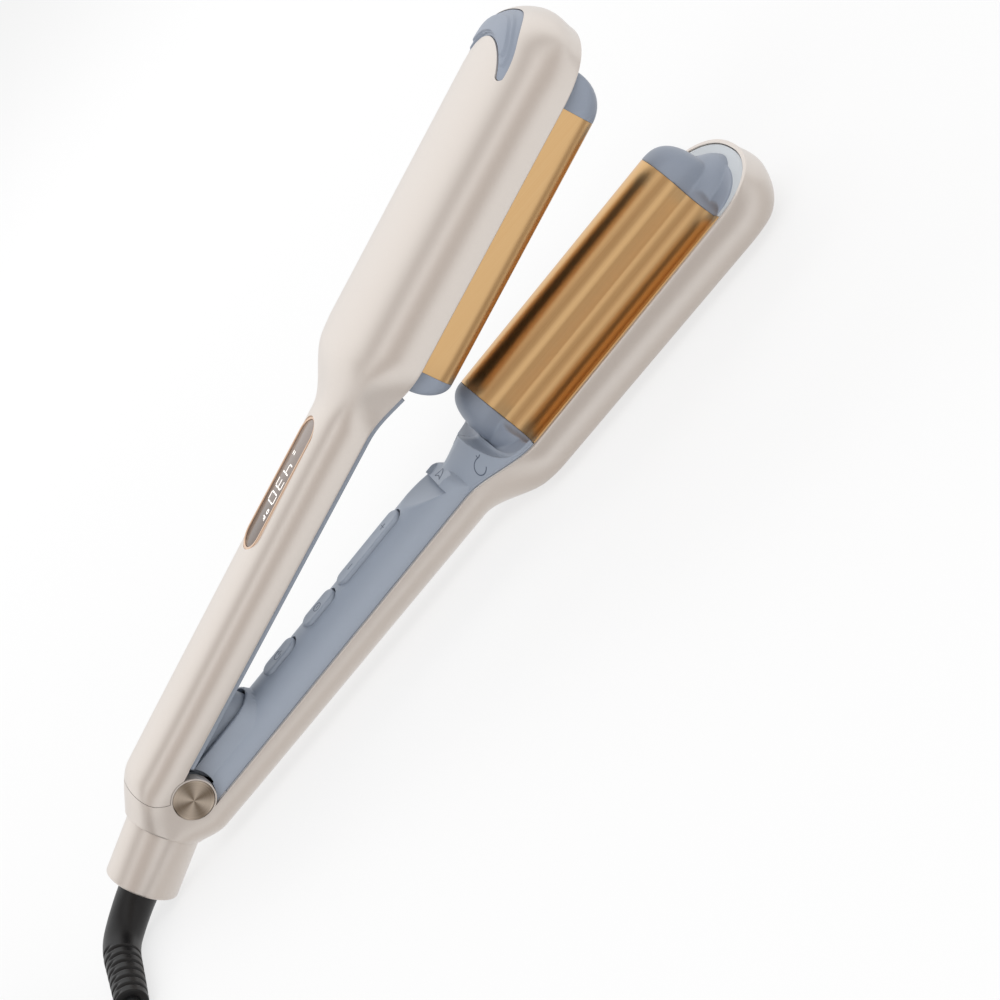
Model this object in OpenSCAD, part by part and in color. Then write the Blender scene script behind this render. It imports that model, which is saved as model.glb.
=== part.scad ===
// Deep waver for hair: two arms hinged at the tail, one tall heated barrel on the lower arm
// that closes between two heated barrels on the upper arm.
// The arms are drawn in a frame of their own: X runs from the hinge to the tip along the
// lower arm's rim, Y is the hinge axis, Z points up. place() then stands the part on Z = 0.

/* [Arms] */
// Distance from the hinge axis to the tips of the shells
arm_len = 290.5; // [286:0.5:296]
// Outer width of both heads
head_w = 62; // [58:0.5:66]
// Outer width of both handles
handle_w = 31.6; // [30:0.2:34]
// Depth of the lower shell at the head's root, below its rim
head_depth = 21.6; // [20.5:0.1:23]
// Depth of the upper shell at the head, above its rim
upper_head_depth = 22.6; // [21.5:0.1:24]
// Depth of the lower shell at the handle
handle_depth = 12.8; // [12.4:0.1:14]
// Depth of the upper shell at the handle
upper_handle_depth = 14.4; // [14:0.1:16]
// Where the handles start to widen into the heads
shoulder_start = 138; // [134:1:142]
// Where the heads reach their full width
shoulder_end = 169; // [167:1:172]
// Where the shells reach their full depth
deep_end = 161; // [158:1:166]
// Length of the rounded nose of each head, seen from above
nose_len = 25; // [22:1:28]
// Length of the rounding of the nose, seen from the side
nose_depth_len = 15; // [12:1:18]
// Wall of both shells
shell_wall = 1.6; // [1.2:0.1:2]
// How far the lower rim lies below the hinge axis
lower_rim_drop = 7.6; // [7:0.1:8]
// How far the upper rim lies above the hinge axis
upper_rim_rise = 6.6; // [6.2:0.1:7]
// Angle between the arms when the spring has opened them
open_angle = 11.7; // [8:0.1:14]

/* [Heated barrels] */
// Start of the heated length
barrel_start = 168.5; // [166:0.5:170]
// Length of the heated barrels
barrel_len = 97.5; // [90:0.5:100]
// Outer radius of the tall centre barrel
crest_r = 10.6; // [9.5:0.1:11]
// Height of the centre barrel above the lower rim
crest_h = 21.2; // [19:0.1:22]
// Half the distance between the two upper barrels
lobe_y = 20.1; // [19.8:0.1:20.6]
// Outer radius of the upper barrels
lobe_r = 7.7; // [7:0.1:7.9]
// How far the upper barrels stand out of the upper rim
lobe_h = 15.2; // [14:0.1:15.4]
// Radius of the troughs beside the centre barrel
trough_r = 9.5; // [9.3:0.1:9.6]
// Wall of the barrels
barrel_wall = 1.5; // [1.2:0.1:1.8]
// Length of the end caps at the upper barrels' tip ends
tip_cap_len = 12.5; // [11:0.5:13]
// Length of the end caps at the upper barrels' root ends
root_cap_len = 8; // [7:0.5:8.5]
// Height of the cavity between the upper barrels, above the upper rim
cavity_h = 11.8; // [11.5:0.1:12.5]

/* [Buttons] */
// Length of the two round-ended buttons
button_len = 16; // [13:0.5:17]
// Width of all buttons
button_w = 7; // [6:0.5:8]
// Length of the temperature rocker
rocker_len = 32.6; // [28:0.2:34]
// Travel of a button
button_travel = 0.6; // [0.4:0.1:0.8]
// Clearance round each button
button_gap = 0.35; // [0.3:0.05:0.5]

/* [Display] */
// Length of the display window
display_len = 49; // [44:1:52]
// Width of the display window
display_w = 12; // [10:0.5:13]

/* [Hinge] */
// Radius of the hinge pin
pin_r = 2.5; // [2:0.1:3]
// Running clearance round the hinge pin
pin_gap = 0.05; // [0.03:0.01:0.08]
// Radius of the pivot caps
pivot_cap_r = 7.3; // [6.8:0.1:7.6]
// Radius of the upper arm's hinge knuckle
knuckle_r = 6.6; // [6:0.1:7]

/* [Cord outlet] */
// Angle of the cord sleeve below the lower arm
sleeve_angle = 18.7; // [15:0.1:20]
// Radius of the cord sleeve
sleeve_r = 13.2; // [12.5:0.05:13.4]
// Distance along the sleeve axis from the hinge to its end
sleeve_end = 40.3; // [38:0.1:42]
// Distance along the sleeve axis from the hinge to the housing's end
housing_end = 17.3; // [16.5:0.1:18]
// Height of the sleeve axis above the hinge axis
sleeve_rise = 1.45; // [1:0.05:2]

/* [Cord] */
// Diameter of the cord
cord_d = 7; // [6.5:0.1:7.5]
// Turns in the stored coil
coil_turns = 9; // [9:1:9]

/* [Hidden] */

champagne = [0.83, 0.79, 0.75];
blue_grey = [0.57, 0.60, 0.66];
light_grey = [0.77, 0.78, 0.80];
gold = [0.80, 0.60, 0.38];
rose = [0.91, 0.75, 0.63];
steel = [0.72, 0.72, 0.74];
board_green = [0.16, 0.40, 0.28];
amber = [0.85, 0.80, 0.70];
black = [0.09, 0.09, 0.10];
smoke = [0.40, 0.34, 0.31];
eps = 0.01;
big = 400;
round_fn = 64;
$fn = round_fn;

// ---- Shared places, worked out from the driving sizes ----
zl = -lower_rim_drop;
zu = upper_rim_rise;
barrel_end = barrel_start + barrel_len;
nose_start = arm_len - nose_len;
head_half = head_w / 2;
handle_half = handle_w / 2;
section_n = 2.6;
nose_n = 2.25;

// The arm lies on the head's underside and on the sleeve's lower edge.
sleeve_dir = [-cos(sleeve_angle), 0, -sin(sleeve_angle)];
sleeve_low_x = -sleeve_end * cos(sleeve_angle) + sleeve_r * sin(sleeve_angle);
sleeve_low_z = sleeve_rise - sleeve_end * sin(sleeve_angle) - sleeve_r * cos(sleeve_angle);
rest_ref_x = 180;
rest_cut = 0.4;
rest_tilt = atan((lower_rim_drop + head_depth - rest_cut + sleeve_low_z) / (rest_ref_x - sleeve_low_x));
depth_slope = tan(rest_tilt);
pivot_height = -sleeve_low_x * sin(rest_tilt) - sleeve_low_z * cos(rest_tilt);
tail_x = -sleeve_end * cos(sleeve_angle) - sleeve_r * sin(sleeve_angle);
tail_z = sleeve_rise - sleeve_end * sin(sleeve_angle) + sleeve_r * cos(sleeve_angle);
frame_min_x = tail_x * cos(rest_tilt) - tail_z * sin(rest_tilt);
frame_max_x = arm_len * cos(rest_tilt) + lower_rim_drop * sin(rest_tilt);
mid_x = (frame_min_x + frame_max_x) / 2;

// ---- Frames ----
module place() {
  translate([-mid_x, 0, pivot_height]) rotate([0, -rest_tilt, 0]) children();
}
module open_arm() {
  rotate([0, -open_angle, 0]) children();
}
module along_sleeve() {
  // Z runs out of the sleeve, X stays in the hinge plane
  translate([0, 0, sleeve_rise]) rotate([0, -90 - sleeve_angle, 0]) children();
}

// ---- Small helpers ----
function ease(t) = t <= 0 ? 0 : t >= 1 ? 1 : t * t * (3 - 2 * t);
function mix(a, b, t) = a + (b - a) * t;
function spow(v, e) = sign(v) * pow(abs(v), e);
module box(x, y, z) {
  translate([x[0], y[0], z[0]]) cube([x[1] - x[0], y[1] - y[0], z[1] - z[0]]);
}
module rod_y(r, y) {
  translate([0, y[1], 0]) rotate([90, 0, 0]) cylinder(r = r, h = y[1] - y[0]);
}
module both_sides() {
  children();
  mirror([0, 1, 0]) children();
}
// Extrudes an outline drawn as (Y, Z) along X
module along_x(x) {
  translate([x[0], 0, 0]) rotate([90, 0, 90]) linear_extrude(x[1] - x[0]) children();
}
// A round-ended slot outline along X, centred
module slot_2d(len, w) {
  for (s = [-1, 1]) translate([s * (len - w) / 2, 0]) circle(d = w);
  square([len - w, w], center = true);
}

// Closed solid through a list of rings with equal point counts
module loft(rings) {
  n = len(rings[0]);
  m = len(rings);
  sides = [for (i = [0 : m - 2], j = [0 : n - 1]) let (k = (j + 1) % n)
    each [[i * n + j, i * n + k, (i + 1) * n + k], [i * n + j, (i + 1) * n + k, (i + 1) * n + j]]];
  first = [for (j = [1 : n - 2]) [0, j + 1, j]];
  last = [for (j = [1 : n - 2]) [(m - 1) * n, (m - 1) * n + j, (m - 1) * n + j + 1]];
  polyhedron(points = [for (r = rings) each r], faces = concat(sides, first, last));
}

// ---- Shell form: half a superellipse hung below a flat rim ----
section_steps = 16;
function share(x, len) = x <= arm_len - len ? 0 : min((x - arm_len + len) / len, 1);
function round_off(x, len, n) = pow(1 - pow(share(x, len), n), 1 / n);
function plan_nose(x) = round_off(x, nose_len, nose_n);
function side_nose(x) = round_off(x, nose_depth_len, nose_n);
function half_width(x) = mix(handle_half, head_half, ease((x - shoulder_start) / (shoulder_end - shoulder_start)))
  - 0.5 * ease((30 - x) / 60);
function deepening(x) = ease((x - shoulder_start) / (deep_end - shoulder_start));
function lower_depth(x) = mix(handle_depth + (x - 60) * 0.012,
  head_depth + (x - rest_ref_x) * depth_slope, deepening(x));
function upper_depth(x) = mix(upper_handle_depth + (x - 60) * 0.01, upper_head_depth, deepening(x));
// Ring of one section: half width w, depth d, rim raised by top
function section(x, w, d, top) = concat(
  [for (i = [0 : section_steps]) let (a = 180 * i / section_steps, z = d * pow(abs(sin(a)), 2 / section_n))
    [x + lean(x, z), w * spow(cos(a), 2 / section_n), -z]],
  [[x, -w, top], [x, w, top]]);
// The nose reaches furthest below the rim
nose_lean = 2.4;
function lean(x, z) = nose_lean * pow(share(x, nose_len), 2) * ease(min(z / 10, 1));
body_xs = [30, 70, 110, shoulder_start, 142, 145.5, 149, 152.5, 156, 160, 165, shoulder_end, 200, 235, nose_start];
nose_steps = [0.2, 0.4, 0.56, 0.7, 0.8, 0.88, 0.94, 0.975, 0.995, 0.9999];
nose_xs = [for (s = nose_steps) nose_start + s * nose_len];
shell_xs = concat(body_xs, nose_xs);
module lower_form() {
  loft([for (x = concat([0], shell_xs)) section(x, half_width(x) * plan_nose(x), lower_depth(x) * side_nose(x), 0.02)]);
}
module upper_form(xs, proud) {
  mirror([0, 0, 1]) loft([for (x = xs)
    section(x, half_width(x) * plan_nose(x), (upper_depth(x) + proud) * side_nose(x), 0.02)]);
}
// Hollow of a shell: the same form drawn in by its wall, open at the rim
nose_wall = 1.9;
function inner_plan(x) = plan_nose(x + nose_wall * share(x, nose_len));
function inner_side(x) = side_nose(x + nose_wall * share(x, nose_len));
hollow_xs = concat([9], body_xs, [for (s = [0.2, 0.4, 0.56, 0.7, 0.8, 0.86, 0.9, 0.922]) nose_start + s * nose_len]);
module lower_hollow() {
  loft([for (x = hollow_xs)
    section(x, (half_width(x) - shell_wall) * inner_plan(x), (lower_depth(x) - shell_wall) * inner_side(x), 4)]);
}
module upper_hollow() {
  mirror([0, 0, 1]) loft([for (x = hollow_xs)
    section(x, (half_width(x) - shell_wall) * inner_plan(x), (upper_depth(x) - shell_wall) * inner_side(x), 4)]);
}

// ---- Tail: the lower arm's housing round the hinge, split from the upper shell ----
tail_half = half_width(0);
split_line = [[-5.3, 5], [-9.9, 9.3], [-11.8, 14.5], [-12.4, 24]];
split_gap = 0.15;
ear_r = 8.5;
ear_in = 11.2;
tall_up = 19.7;
tall_low = 20;
function tall_ring(x) = [for (i = [0 : 2 * section_steps - 1]) let (a = 180 * i / section_steps)
  [x, (tail_half - (x < -5 ? 0.3 : 0)) * spow(cos(a), 2 / section_n),
    (sin(a) >= 0 ? tall_up : x < -5 ? 2 - tall_low : -tall_low) * pow(abs(sin(a)), 2 / section_n)]];
module tail_form() {
  hull() {
    loft([tall_ring(-1), tall_ring(-8.6)]);
    along_sleeve() translate([0, 0, housing_end - 0.5]) cylinder(r = sleeve_r + 1.5, h = 0.5, $fn = 32);
  }
}
// Everything on the upper arm's side of the parting line, seen from the side
module upper_side(gap) {
  rotate([90, 0, 0]) translate([0, 0, -big / 2]) linear_extrude(big)
    offset(delta = -gap) polygon(concat(split_line, [[-12.4, 60], [60, 60], [60, -7], [0, -7]]));
}

module lower_shell() {
  // posts that carry the control board
  color(champagne) for (x = board_post_x) both_sides()
    translate([x, board_post_y, -18.2]) cylinder(r = 2.2, h = board_top - board_t + 18.2, $fn = 24);
  color(champagne) difference() {
    union() {
      translate([0, 0, zl]) lower_form();
      difference() {
        tail_form();
        upper_side(-split_gap);
        box([-1.1, 60], [-60, 60], [zl + eps, 60]);
      }
      both_sides() rod_y(ear_r, [ear_in, tail_half]);
    }
    translate([0, 0, zl]) lower_hollow();
    // room for the knuckle and the bracket between the ears
    rod_y(knuckle_r + 1.6, [-ear_in, ear_in]);
    box([-2, 12], [-ear_in, ear_in], [-14.6, 30]);
    // pin ends, cap seats and the bore for the cord sleeve
    rod_y(pin_r + 0.15, [-40, 40]);
    both_sides() rod_y(pivot_cap_r + 0.12, [tail_half - 1.2, 40]);
    along_sleeve() translate([0, 0, 2]) cylinder(r = sleeve_r + 0.02, h = 40);
    // flat where the head rests
    rotate([0, rest_tilt, 0]) translate([-100, -100, -pivot_height - 20]) cube([big, 200, 20]);
  }
}

// ---- Lower handle panel: a crowned cover that sweeps up to the barrel ----
panel_start = 9;
panel_gap = 0.15;
panel_h = 9.9;
panel_wall = 2;
facet_x = [122.5, 136];
facet_drop = 6.2;
neck_h = [6.4, 10.8];
panel_end = 165;
function inner_half(x) = half_width(x) - shell_wall;
function crown_h(x) = x <= facet_x[1] ? panel_h : mix(neck_h[0], neck_h[1], ease((x - facet_x[1]) / (panel_end - facet_x[1])));
// The crown falls to a low flange beside it; a flat facet leads down to the neck.
crown_half = 14;
flange_h = 0.5;
function crown(y, h, w) = h * pow(max(0, 1 - pow(abs(y) / w, 2)), 0.72);
function facet_h(x) = x < facet_x[0] || x > facet_x[1] ? big : panel_h - (x - facet_x[0]) * facet_drop / (facet_x[1] - facet_x[0]);
function panel_z(x, y, w) = max(flange_h, min(facet_h(x), crown(y, crown_h(x), min(w, crown_half))));
panel_ys = [for (i = [-12 : 12]) sin(i * 7.5)];
panel_xs = [panel_start, 50, 90, facet_x[0], 126, 129.5, 133, facet_x[1], facet_x[1] + 0.5, 139, 142, 146, 150, 154, 158,
  panel_end];
// One ring runs over the top from side to side and back under it
function panel_ring(x) = let (w = inner_half(x) - panel_gap, v = w - panel_wall) concat(
  [for (u = panel_ys) [x, u * w, panel_z(x, u * w, w)]],
  [for (i = [24 : -1 : 0]) let (u = panel_ys[i]) [x, u * v, panel_z(x, u * w, w) - panel_wall]]);
// Closed solid through rings whose second half runs back beside the first
module strip_loft(rings) {
  n = len(rings[0]);
  m = len(rings);
  sides = [for (i = [0 : m - 2], j = [0 : n - 1]) let (k = (j + 1) % n)
    each [[i * n + j, i * n + k, (i + 1) * n + k], [i * n + j, (i + 1) * n + k, (i + 1) * n + j]]];
  ends = [for (j = [0 : n / 2 - 2]) let (o = (m - 1) * n, q = n - 1 - j)
    each [[j + 1, j, q], [j + 1, q, q - 1], [o + j, o + j + 1, o + q], [o + j + 1, o + q - 1, o + q]]];
  polyhedron(points = [for (r = rings) each r], faces = concat(sides, ends));
}
// Button places along the handle: rear button, middle button, rocker
power_x = 55;
mode_x = 76.7;
rocker_x = 103.7;
collar_x = 30;
collar_r = 9.5;
collar_h = 2.2;
collar_wall = 1.6;
module lower_panel() {
  color(blue_grey) translate([0, 0, zl]) difference() {
    union() {
      strip_loft([for (x = panel_xs) panel_ring(x)]);
      // raised collar round the tongue of the upper arm
      translate([collar_x, 0, 4]) cylinder(r = collar_r, h = panel_h + collar_h - 4);
      box([panel_start + 3, collar_x], [-collar_r, collar_r], [4, panel_h + collar_h]);
    }
    // room for the barrel's cap, whose troughs run out into the panel
    translate([barrel_start, 0, -10]) scale([root_floor + 0.2, 27.2, 1]) cylinder(r = 1, h = 60);
    // button openings
    for (b = [[power_x, button_len], [mode_x, button_len], [rocker_x, rocker_len]])
      translate([b[0], 0, 0]) linear_extrude(30) slot_2d(b[1] + 2 * button_gap, button_w + 2 * button_gap);
    // well for the tongue
    translate([collar_x, 0, -5]) cylinder(r = collar_r - collar_wall, h = 40);
    box([0, collar_x], [-collar_r + collar_wall, collar_r - collar_wall], [-5, 40]);
    // room for the knuckle and the bracket plates
    translate([0, 0, -zl]) rod_y(ear_r + 0.4, [-ear_in - 0.2, ear_in + 0.2]);
  }
}

// ---- Lower barrel: one waved extrusion, crest in the middle and a trough each side ----
trough_c = 6.8;
crest_c = crest_h - crest_r;
lip_half = head_half - shell_wall - 0.4;
module wave_2d(t) {
  // t is how far inside the outer face the outline runs
  difference() {
    union() {
      translate([0, crest_c]) circle(r = crest_r - t);
      translate([-(crest_r - t), trough_c]) square([2 * (crest_r - t), crest_c - trough_c]);
      translate([-lip_half + t, -3.4 - t]) square([2 * (lip_half - t), trough_c + 3.4 + t]);
    }
    // the trough runs 0.04 mm into the crest's side, so that the two cross
    both_sides_2d() translate([lobe_y, trough_c]) circle(r = trough_r + 0.04 + t);
    both_sides_2d() translate([lobe_y + 4, -t]) square([40, 30]);
  }
}
module both_sides_2d() {
  children();
  mirror([1, 0]) children();
}
module lower_barrel() {
  color(gold) translate([0, 0, zl]) along_x([barrel_start, barrel_end]) {
    difference() {
      wave_2d(0);
      difference() {
        wave_2d(barrel_wall);
        // web that carries the heater inside the crest
        translate([-crest_r, heater_seat - barrel_wall]) square([2 * crest_r, barrel_wall]);
      }
      translate([-crest_r + barrel_wall, -6]) square([2 * (crest_r - barrel_wall), 6]);
    }
  }
}
heater_seat = 8;
heater_h = 3.4;
heater_inset = 6;
module lower_heater() {
  color(amber) translate([0, 0, zl + heater_seat])
    box([barrel_start + heater_inset, barrel_end - heater_inset], [-7, 7], [0, heater_h]);
}

root_floor = 10;
tip_floor = 14;
// ---- Lower end caps: a domed end on the crest, a swelling below it, and the troughs carried on ----
dome_steps = [0, 0.3, 0.55, 0.75, 0.88, 0.96, 0.995];
module crest_dome(len) {
  loft([for (t = dome_steps) let (q = pow(1 - pow(t, 2.6), 1 / 2.6), r = crest_r * q) concat(
    [for (i = [0 : 18]) let (a = 10 * i) [len * t, -r * cos(a), crest_c * q + r * sin(a)]],
    [[len * t, r, -2.5], [len * t, -r, -2.5]])]);
}
module crest_cap(dome, ball, floor_len) {
  // X = 0 lies on the barrel's end face and the cap grows along +X
  difference() {
    union() {
      crest_dome(dome);
      difference() {
        union() {
          intersection() {
            translate([0, 0, -1.6]) scale(ball) sphere(r = 1);
            box([0, 40], [-30, 30], [-2.8, 30]);
          }
          // floor of the troughs, round in plan
          intersection() {
            box([0, floor_len], [-24, 24], [-4.4, -1]);
            translate([0, 0, -10]) scale([floor_len, 27, 1]) cylinder(r = 1, h = 20);
            translate([0, 0, -10]) linear_extrude(20) polygon([[-1, -24], [floor_len + 1, -22], [floor_len + 1, 22], [-1, 24]]);
          }
        }
        for (s = [-1, 1]) translate([0, s * lobe_y, trough_c]) rotate([0, 90, 0])
          translate([0, 0, -1]) cylinder(r = trough_r, h = 60);
      }
    }
    box([-1, 3], [-crest_r + barrel_wall, crest_r - barrel_wall], [-6, crest_c]);
  }
}
module lower_tip_cap() {
  color(blue_grey) translate([barrel_end, 0, zl]) crest_cap(13, [19.5, 15.5, 9], tip_floor);
}
module lower_root_cap() {
  color(blue_grey) translate([barrel_start, 0, zl]) mirror([1, 0, 0]) crest_cap(9.8, [9.9, 15.5, 9], root_floor);
}
module tip_panel() {
  color(light_grey) translate([0, 0, zl]) difference() {
    loft([for (x = [barrel_end + 0.3, 272, 277, 281, 283, 285, 287, 288])
      let (w = inner_half(x) * inner_plan(x) - 0.3) [[x, -w, -2], [x, -w, -0.3], [x, w, -0.3], [x, w, -2]]]);
    // outline of the barrel's cap
    translate([barrel_end, 0, -10]) scale([tip_floor + 0.2, 27.2, 1]) cylinder(r = 1, h = 20);
    translate([barrel_end, 0, -1.6]) scale([19.7, 15.7, 9]) rotate([0, 0, 0]) sphere(r = 1);
  }
}

// ---- Lower carrier: heat-proof tray under the barrel on four posts ----
carrier_z = -12.5;
screw_r = 1.1;
post_r = 3.2;
post_xy = [[180, 12], [258, 12]];
module lower_carrier() {
  color(black) difference() {
    union() {
      box([163, 276], [-20, 20], [carrier_z - 1.6, carrier_z]);
      for (p = post_xy) both_sides() translate([p[0], p[1], carrier_z - 13.3]) cylinder(r = post_r, h = 12);
      // two ribs under the barrel's edges
      both_sides() box([barrel_start + 1, barrel_end - 1], [18, 20], [carrier_z - eps, zl + trough_c - trough_r - barrel_wall - 0.02]);
    }
    for (p = post_xy) both_sides() translate([p[0], p[1], carrier_z - 12]) cylinder(r = screw_r + 0.05, h = 30);
  }
}
module lower_screws() {
  color(steel) for (p = post_xy) both_sides() translate([p[0], p[1], carrier_z - 9]) {
    cylinder(r = screw_r, h = 9.6);
    translate([0, 0, 9]) cylinder(r = 2.4, h = 1.5);
  }
}

// ---- Control electronics under the buttons ----
board_top = zl - 1;
board_t = 1.6;
board_post_x = [45, 121];
board_post_y = 8;
switch_h = 4;
module control_board() {
  color(board_green) difference() {
    box([42, 124], [-10.5, 10.5], [board_top - board_t, board_top]);
    for (x = board_post_x) both_sides() translate([x, board_post_y, board_top - 5]) cylinder(r = 1.2, h = 10);
  }
}
rocker_arm = 11;
module tact_switches() {
  color(black) for (x = [power_x, mode_x, rocker_x - rocker_arm, rocker_x + rocker_arm])
    translate([x, 0, board_top]) {
      box([-3, 3], [-3, 3], [0, switch_h - 1]);
      cylinder(r = 1.75, h = switch_h);
    }
}
module board_components() {
  color(black) {
    translate([0, 0, board_top - board_t]) {
      box([48, 58], [-7, 1], [-1.2, 0]);
      box([64, 72], [-6, 4], [-1.4, 0]);
      box([96, 112], [-7, 7], [-1.8, 0]);
    }
    translate([86.5, 0, board_top]) box([-2.5, 2.5], [-8, -4], [0, 2.2]);
    translate([104, 6.5, board_top]) cylinder(r = 2.2, h = 4.5);
  }
}

// ---- Buttons: caps with a flange under the panel and a stem to the switch ----
cap_proud = 0.9;
stem_low = board_top + switch_h + button_travel + 0.08;
cap_low = zl + panel_h - panel_wall - 1.6;
module button_cap(len) {
  translate([0, 0, cap_low]) linear_extrude(zl + panel_h + cap_proud - cap_low - 0.5) slot_2d(len, button_w);
  translate([0, 0, zl + panel_h + cap_proud - 0.5 - eps]) linear_extrude(0.5) slot_2d(len - 1, button_w - 1);
}
module button_stem() {
  translate([0, 0, stem_low]) cylinder(r = 1.6, h = cap_low - stem_low + eps);
}
module power_button() {
  color(blue_grey) translate([power_x, 0, 0]) {
    button_cap(button_len);
    button_stem();
  }
}
module mode_button() {
  color(blue_grey) translate([mode_x, 0, 0]) {
    button_cap(button_len);
    button_stem();
  }
}
rocker_pivot_z = zl + panel_h - 3;
module temperature_rocker() {
  color(blue_grey) translate([rocker_x, 0, 0]) difference() {
    union() {
      button_cap(rocker_len);
      for (s = [-1, 1]) translate([s * rocker_arm, 0, 0]) button_stem();
    }
  }
}

// ---- Hinge hardware ----
bracket_t = 1.6;
module hinge_bracket() {
  color(steel) difference() {
    union() {
      both_sides() intersection() {
        rod_y(6.4, [ear_in - 0.15 - bracket_t, ear_in - 0.15]);
        box([-10, 10], [0, 20], [-20, 20]);
      }
      both_sides() box([-1.9, 4], [ear_in - 0.15 - bracket_t, ear_in - 0.15], [-14.6, 0]);
      box([-1.9, 11.5], [-ear_in + 0.15, ear_in - 0.15], [-14.6, -13]);
    }
    rod_y(pin_r, [-20, 20]);
  }
}
module hinge_pin() {
  color(steel) rod_y(pin_r, [-tail_half + 1.25, tail_half - 1.25]);
}
module pivot_caps() {
  color(rose) both_sides() difference() {
    rod_y(pivot_cap_r, [tail_half - 1.2, tail_half + 0.35]);
    rod_y(pivot_cap_r - 0.6, [tail_half + 0.2, tail_half + 1]);
  }
}
knuckle_half = 6.4;
tongue_half = 7.1;
tongue_low = -6.4;
tongue_end = collar_x + tongue_half;
spring_r = 3.2;
spring_wire = 0.8;
module hinge_knuckle() {
  color(blue_grey) open_arm() difference() {
    union() {
      rod_y(knuckle_r, [-knuckle_half, knuckle_half]);
      // tongue that fills the collar, and its foot inside the upper handle
      box([0, 10], [-knuckle_half, knuckle_half], [-knuckle_r, zu + 2]);
      box([9, collar_x], [-tongue_half, tongue_half], [tongue_low, zu + 2]);
      translate([collar_x, 0, tongue_low]) cylinder(r = tongue_half, h = zu + 2 - tongue_low);
      box([-knuckle_r, tongue_end + 4], [-knuckle_half, knuckle_half], [zu - 0.4, zu + 3]);
    }
    rod_y(pin_r + pin_gap, [-20, 20]);
  }
}
// Torsion spring on the pin beside the knuckle
spring_turns = 2.2;
spring_y = knuckle_half + 0.1 + spring_wire / 2;
spring_pitch = spring_wire + 0.12;
spring_steps = 16;
function spring_point(t) = [spring_r * cos(360 * t), spring_y + spring_pitch * t, spring_r * sin(360 * t)];
module opening_spring() {
  color(steel) {
    n = round(spring_turns * spring_steps);
    loft([for (i = [0 : n]) let (t = i / spring_steps, c = spring_point(t), a = 360 * t)
      [for (k = [0 : 5]) c + spring_wire / 2 * [cos(60 * k) * cos(a), sin(60 * k), cos(60 * k) * sin(a)]]]);
  }
}

// ---- Cord outlet ----
module cord_sleeve() {
  color(champagne) along_sleeve() difference() {
    translate([0, 0, 8]) cylinder(r = sleeve_r, h = sleeve_end - 8);
    translate([0, 0, 7]) cylinder(r = sleeve_r - 1.5, h = sleeve_end - 9.5);
    cylinder(r = rotor_r + 0.6, h = 60);
  }
}
rotor_r = 8.4;
rotor_neck_r = 7.8;
socket_z = [14, 37.2];
module swivel_socket() {
  color(black) along_sleeve() difference() {
    translate([0, 0, socket_z[0]]) cylinder(r = sleeve_r - 1.5, h = socket_z[1] - 0.3 - socket_z[0]);
    translate([0, 0, socket_z[0] + 4]) cylinder(r = rotor_r + 0.3, h = 30);
    translate([0, 0, 10]) cylinder(r = 2.5, h = 10);
  }
}
module contact_rings() {
  color(rose) along_sleeve() for (r = [3.4, 6.2]) difference() {
    translate([0, 0, socket_z[0] + 4]) cylinder(r = r + 0.7, h = 0.8);
    translate([0, 0, socket_z[0]]) cylinder(r = r - 0.3, h = 10);
  }
}
module swivel_rotor() {
  color(black) along_sleeve() difference() {
    union() {
      translate([0, 0, socket_z[0] + 5.1]) cylinder(r = rotor_r, h = sleeve_end - 1 - socket_z[0] - 5.1);
    }
    translate([0, 0, 0]) cylinder(r = 2, h = socket_z[0] + 8);
  }
}

// ---- Upper arm ----
display_x = 110;
display_top = zu + upper_handle_depth + 0.5;
display_tilt = 0.6;
module display_slot(grow) {
  translate([display_x, 0, 0]) linear_extrude(60) slot_2d(display_len + grow, display_w + grow);
}
module upper_shell() {
  color(champagne) open_arm() difference() {
    union() {
      translate([0, 0, zu]) upper_form(concat([-4, 0], shell_xs), 0);
      rotate([0, open_angle, 0]) intersection() {
        tail_form();
        upper_side(split_gap);
        box([-40, 0], [-40, 40], [0, 60]);
      }
    }
    difference() {
      translate([0, 0, zu]) upper_hollow();
      translate([0, 0, zu + grip_floor - 1.6]) linear_extrude(40) offset(delta = 1.6) grip_outline(0);
    }
    rod_y(knuckle_r + 0.5, [-ear_in, ear_in]);
    box([-7.2, 12], [-ear_in, ear_in], [-10, zu + upper_handle_depth - 5.5]);
    both_sides() rod_y(ear_r + 0.3, [ear_in - 1, 40]);
    display_slot(2.4);
    thumb_pocket();
  }
}
// Crescent thumb grip set into the tip of the upper shell
grip_r = 20.4;
grip_x = 267;
bite_r = 18.2;
bite_x = 257;
grip_end = [266, 18.3, 2.3];
grip_floor = 16;
grip_proud = 1.1;
module grip_outline(gap) {
  difference() {
    translate([grip_x, 0]) circle(r = grip_r - gap);
    translate([bite_x, 0]) circle(r = bite_r + gap);
    translate([grip_end[0] - 60, -30]) square([60, 60]);
  }
  for (s = [-1, 1]) translate([grip_end[0], s * grip_end[1]]) circle(r = grip_end[2] - gap);
}
module thumb_pocket() {
  translate([0, 0, zu + grip_floor]) linear_extrude(40) grip_outline(0);
}
module thumb_grip() {
  color(blue_grey) open_arm() intersection() {
    translate([0, 0, zu + grip_floor]) linear_extrude(40) grip_outline(0.15);
    difference() {
      translate([0, 0, zu]) upper_form([for (v = shell_xs) if (v > 230) v], grip_proud);
      // two steps that follow the inner edge
      for (k = [1, 2]) translate([bite_x, 0, zu + upper_head_depth + grip_proud - 0.7 * k]) cylinder(r = bite_r + 9 - 3 * k, h = 9);
    }
  }
}
upper_panel_h = 2.4;
upper_panel_xs = [9.5, 30, 70, 110, shoulder_start, 142, 145.5, 149, 152.5, 156];
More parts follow.
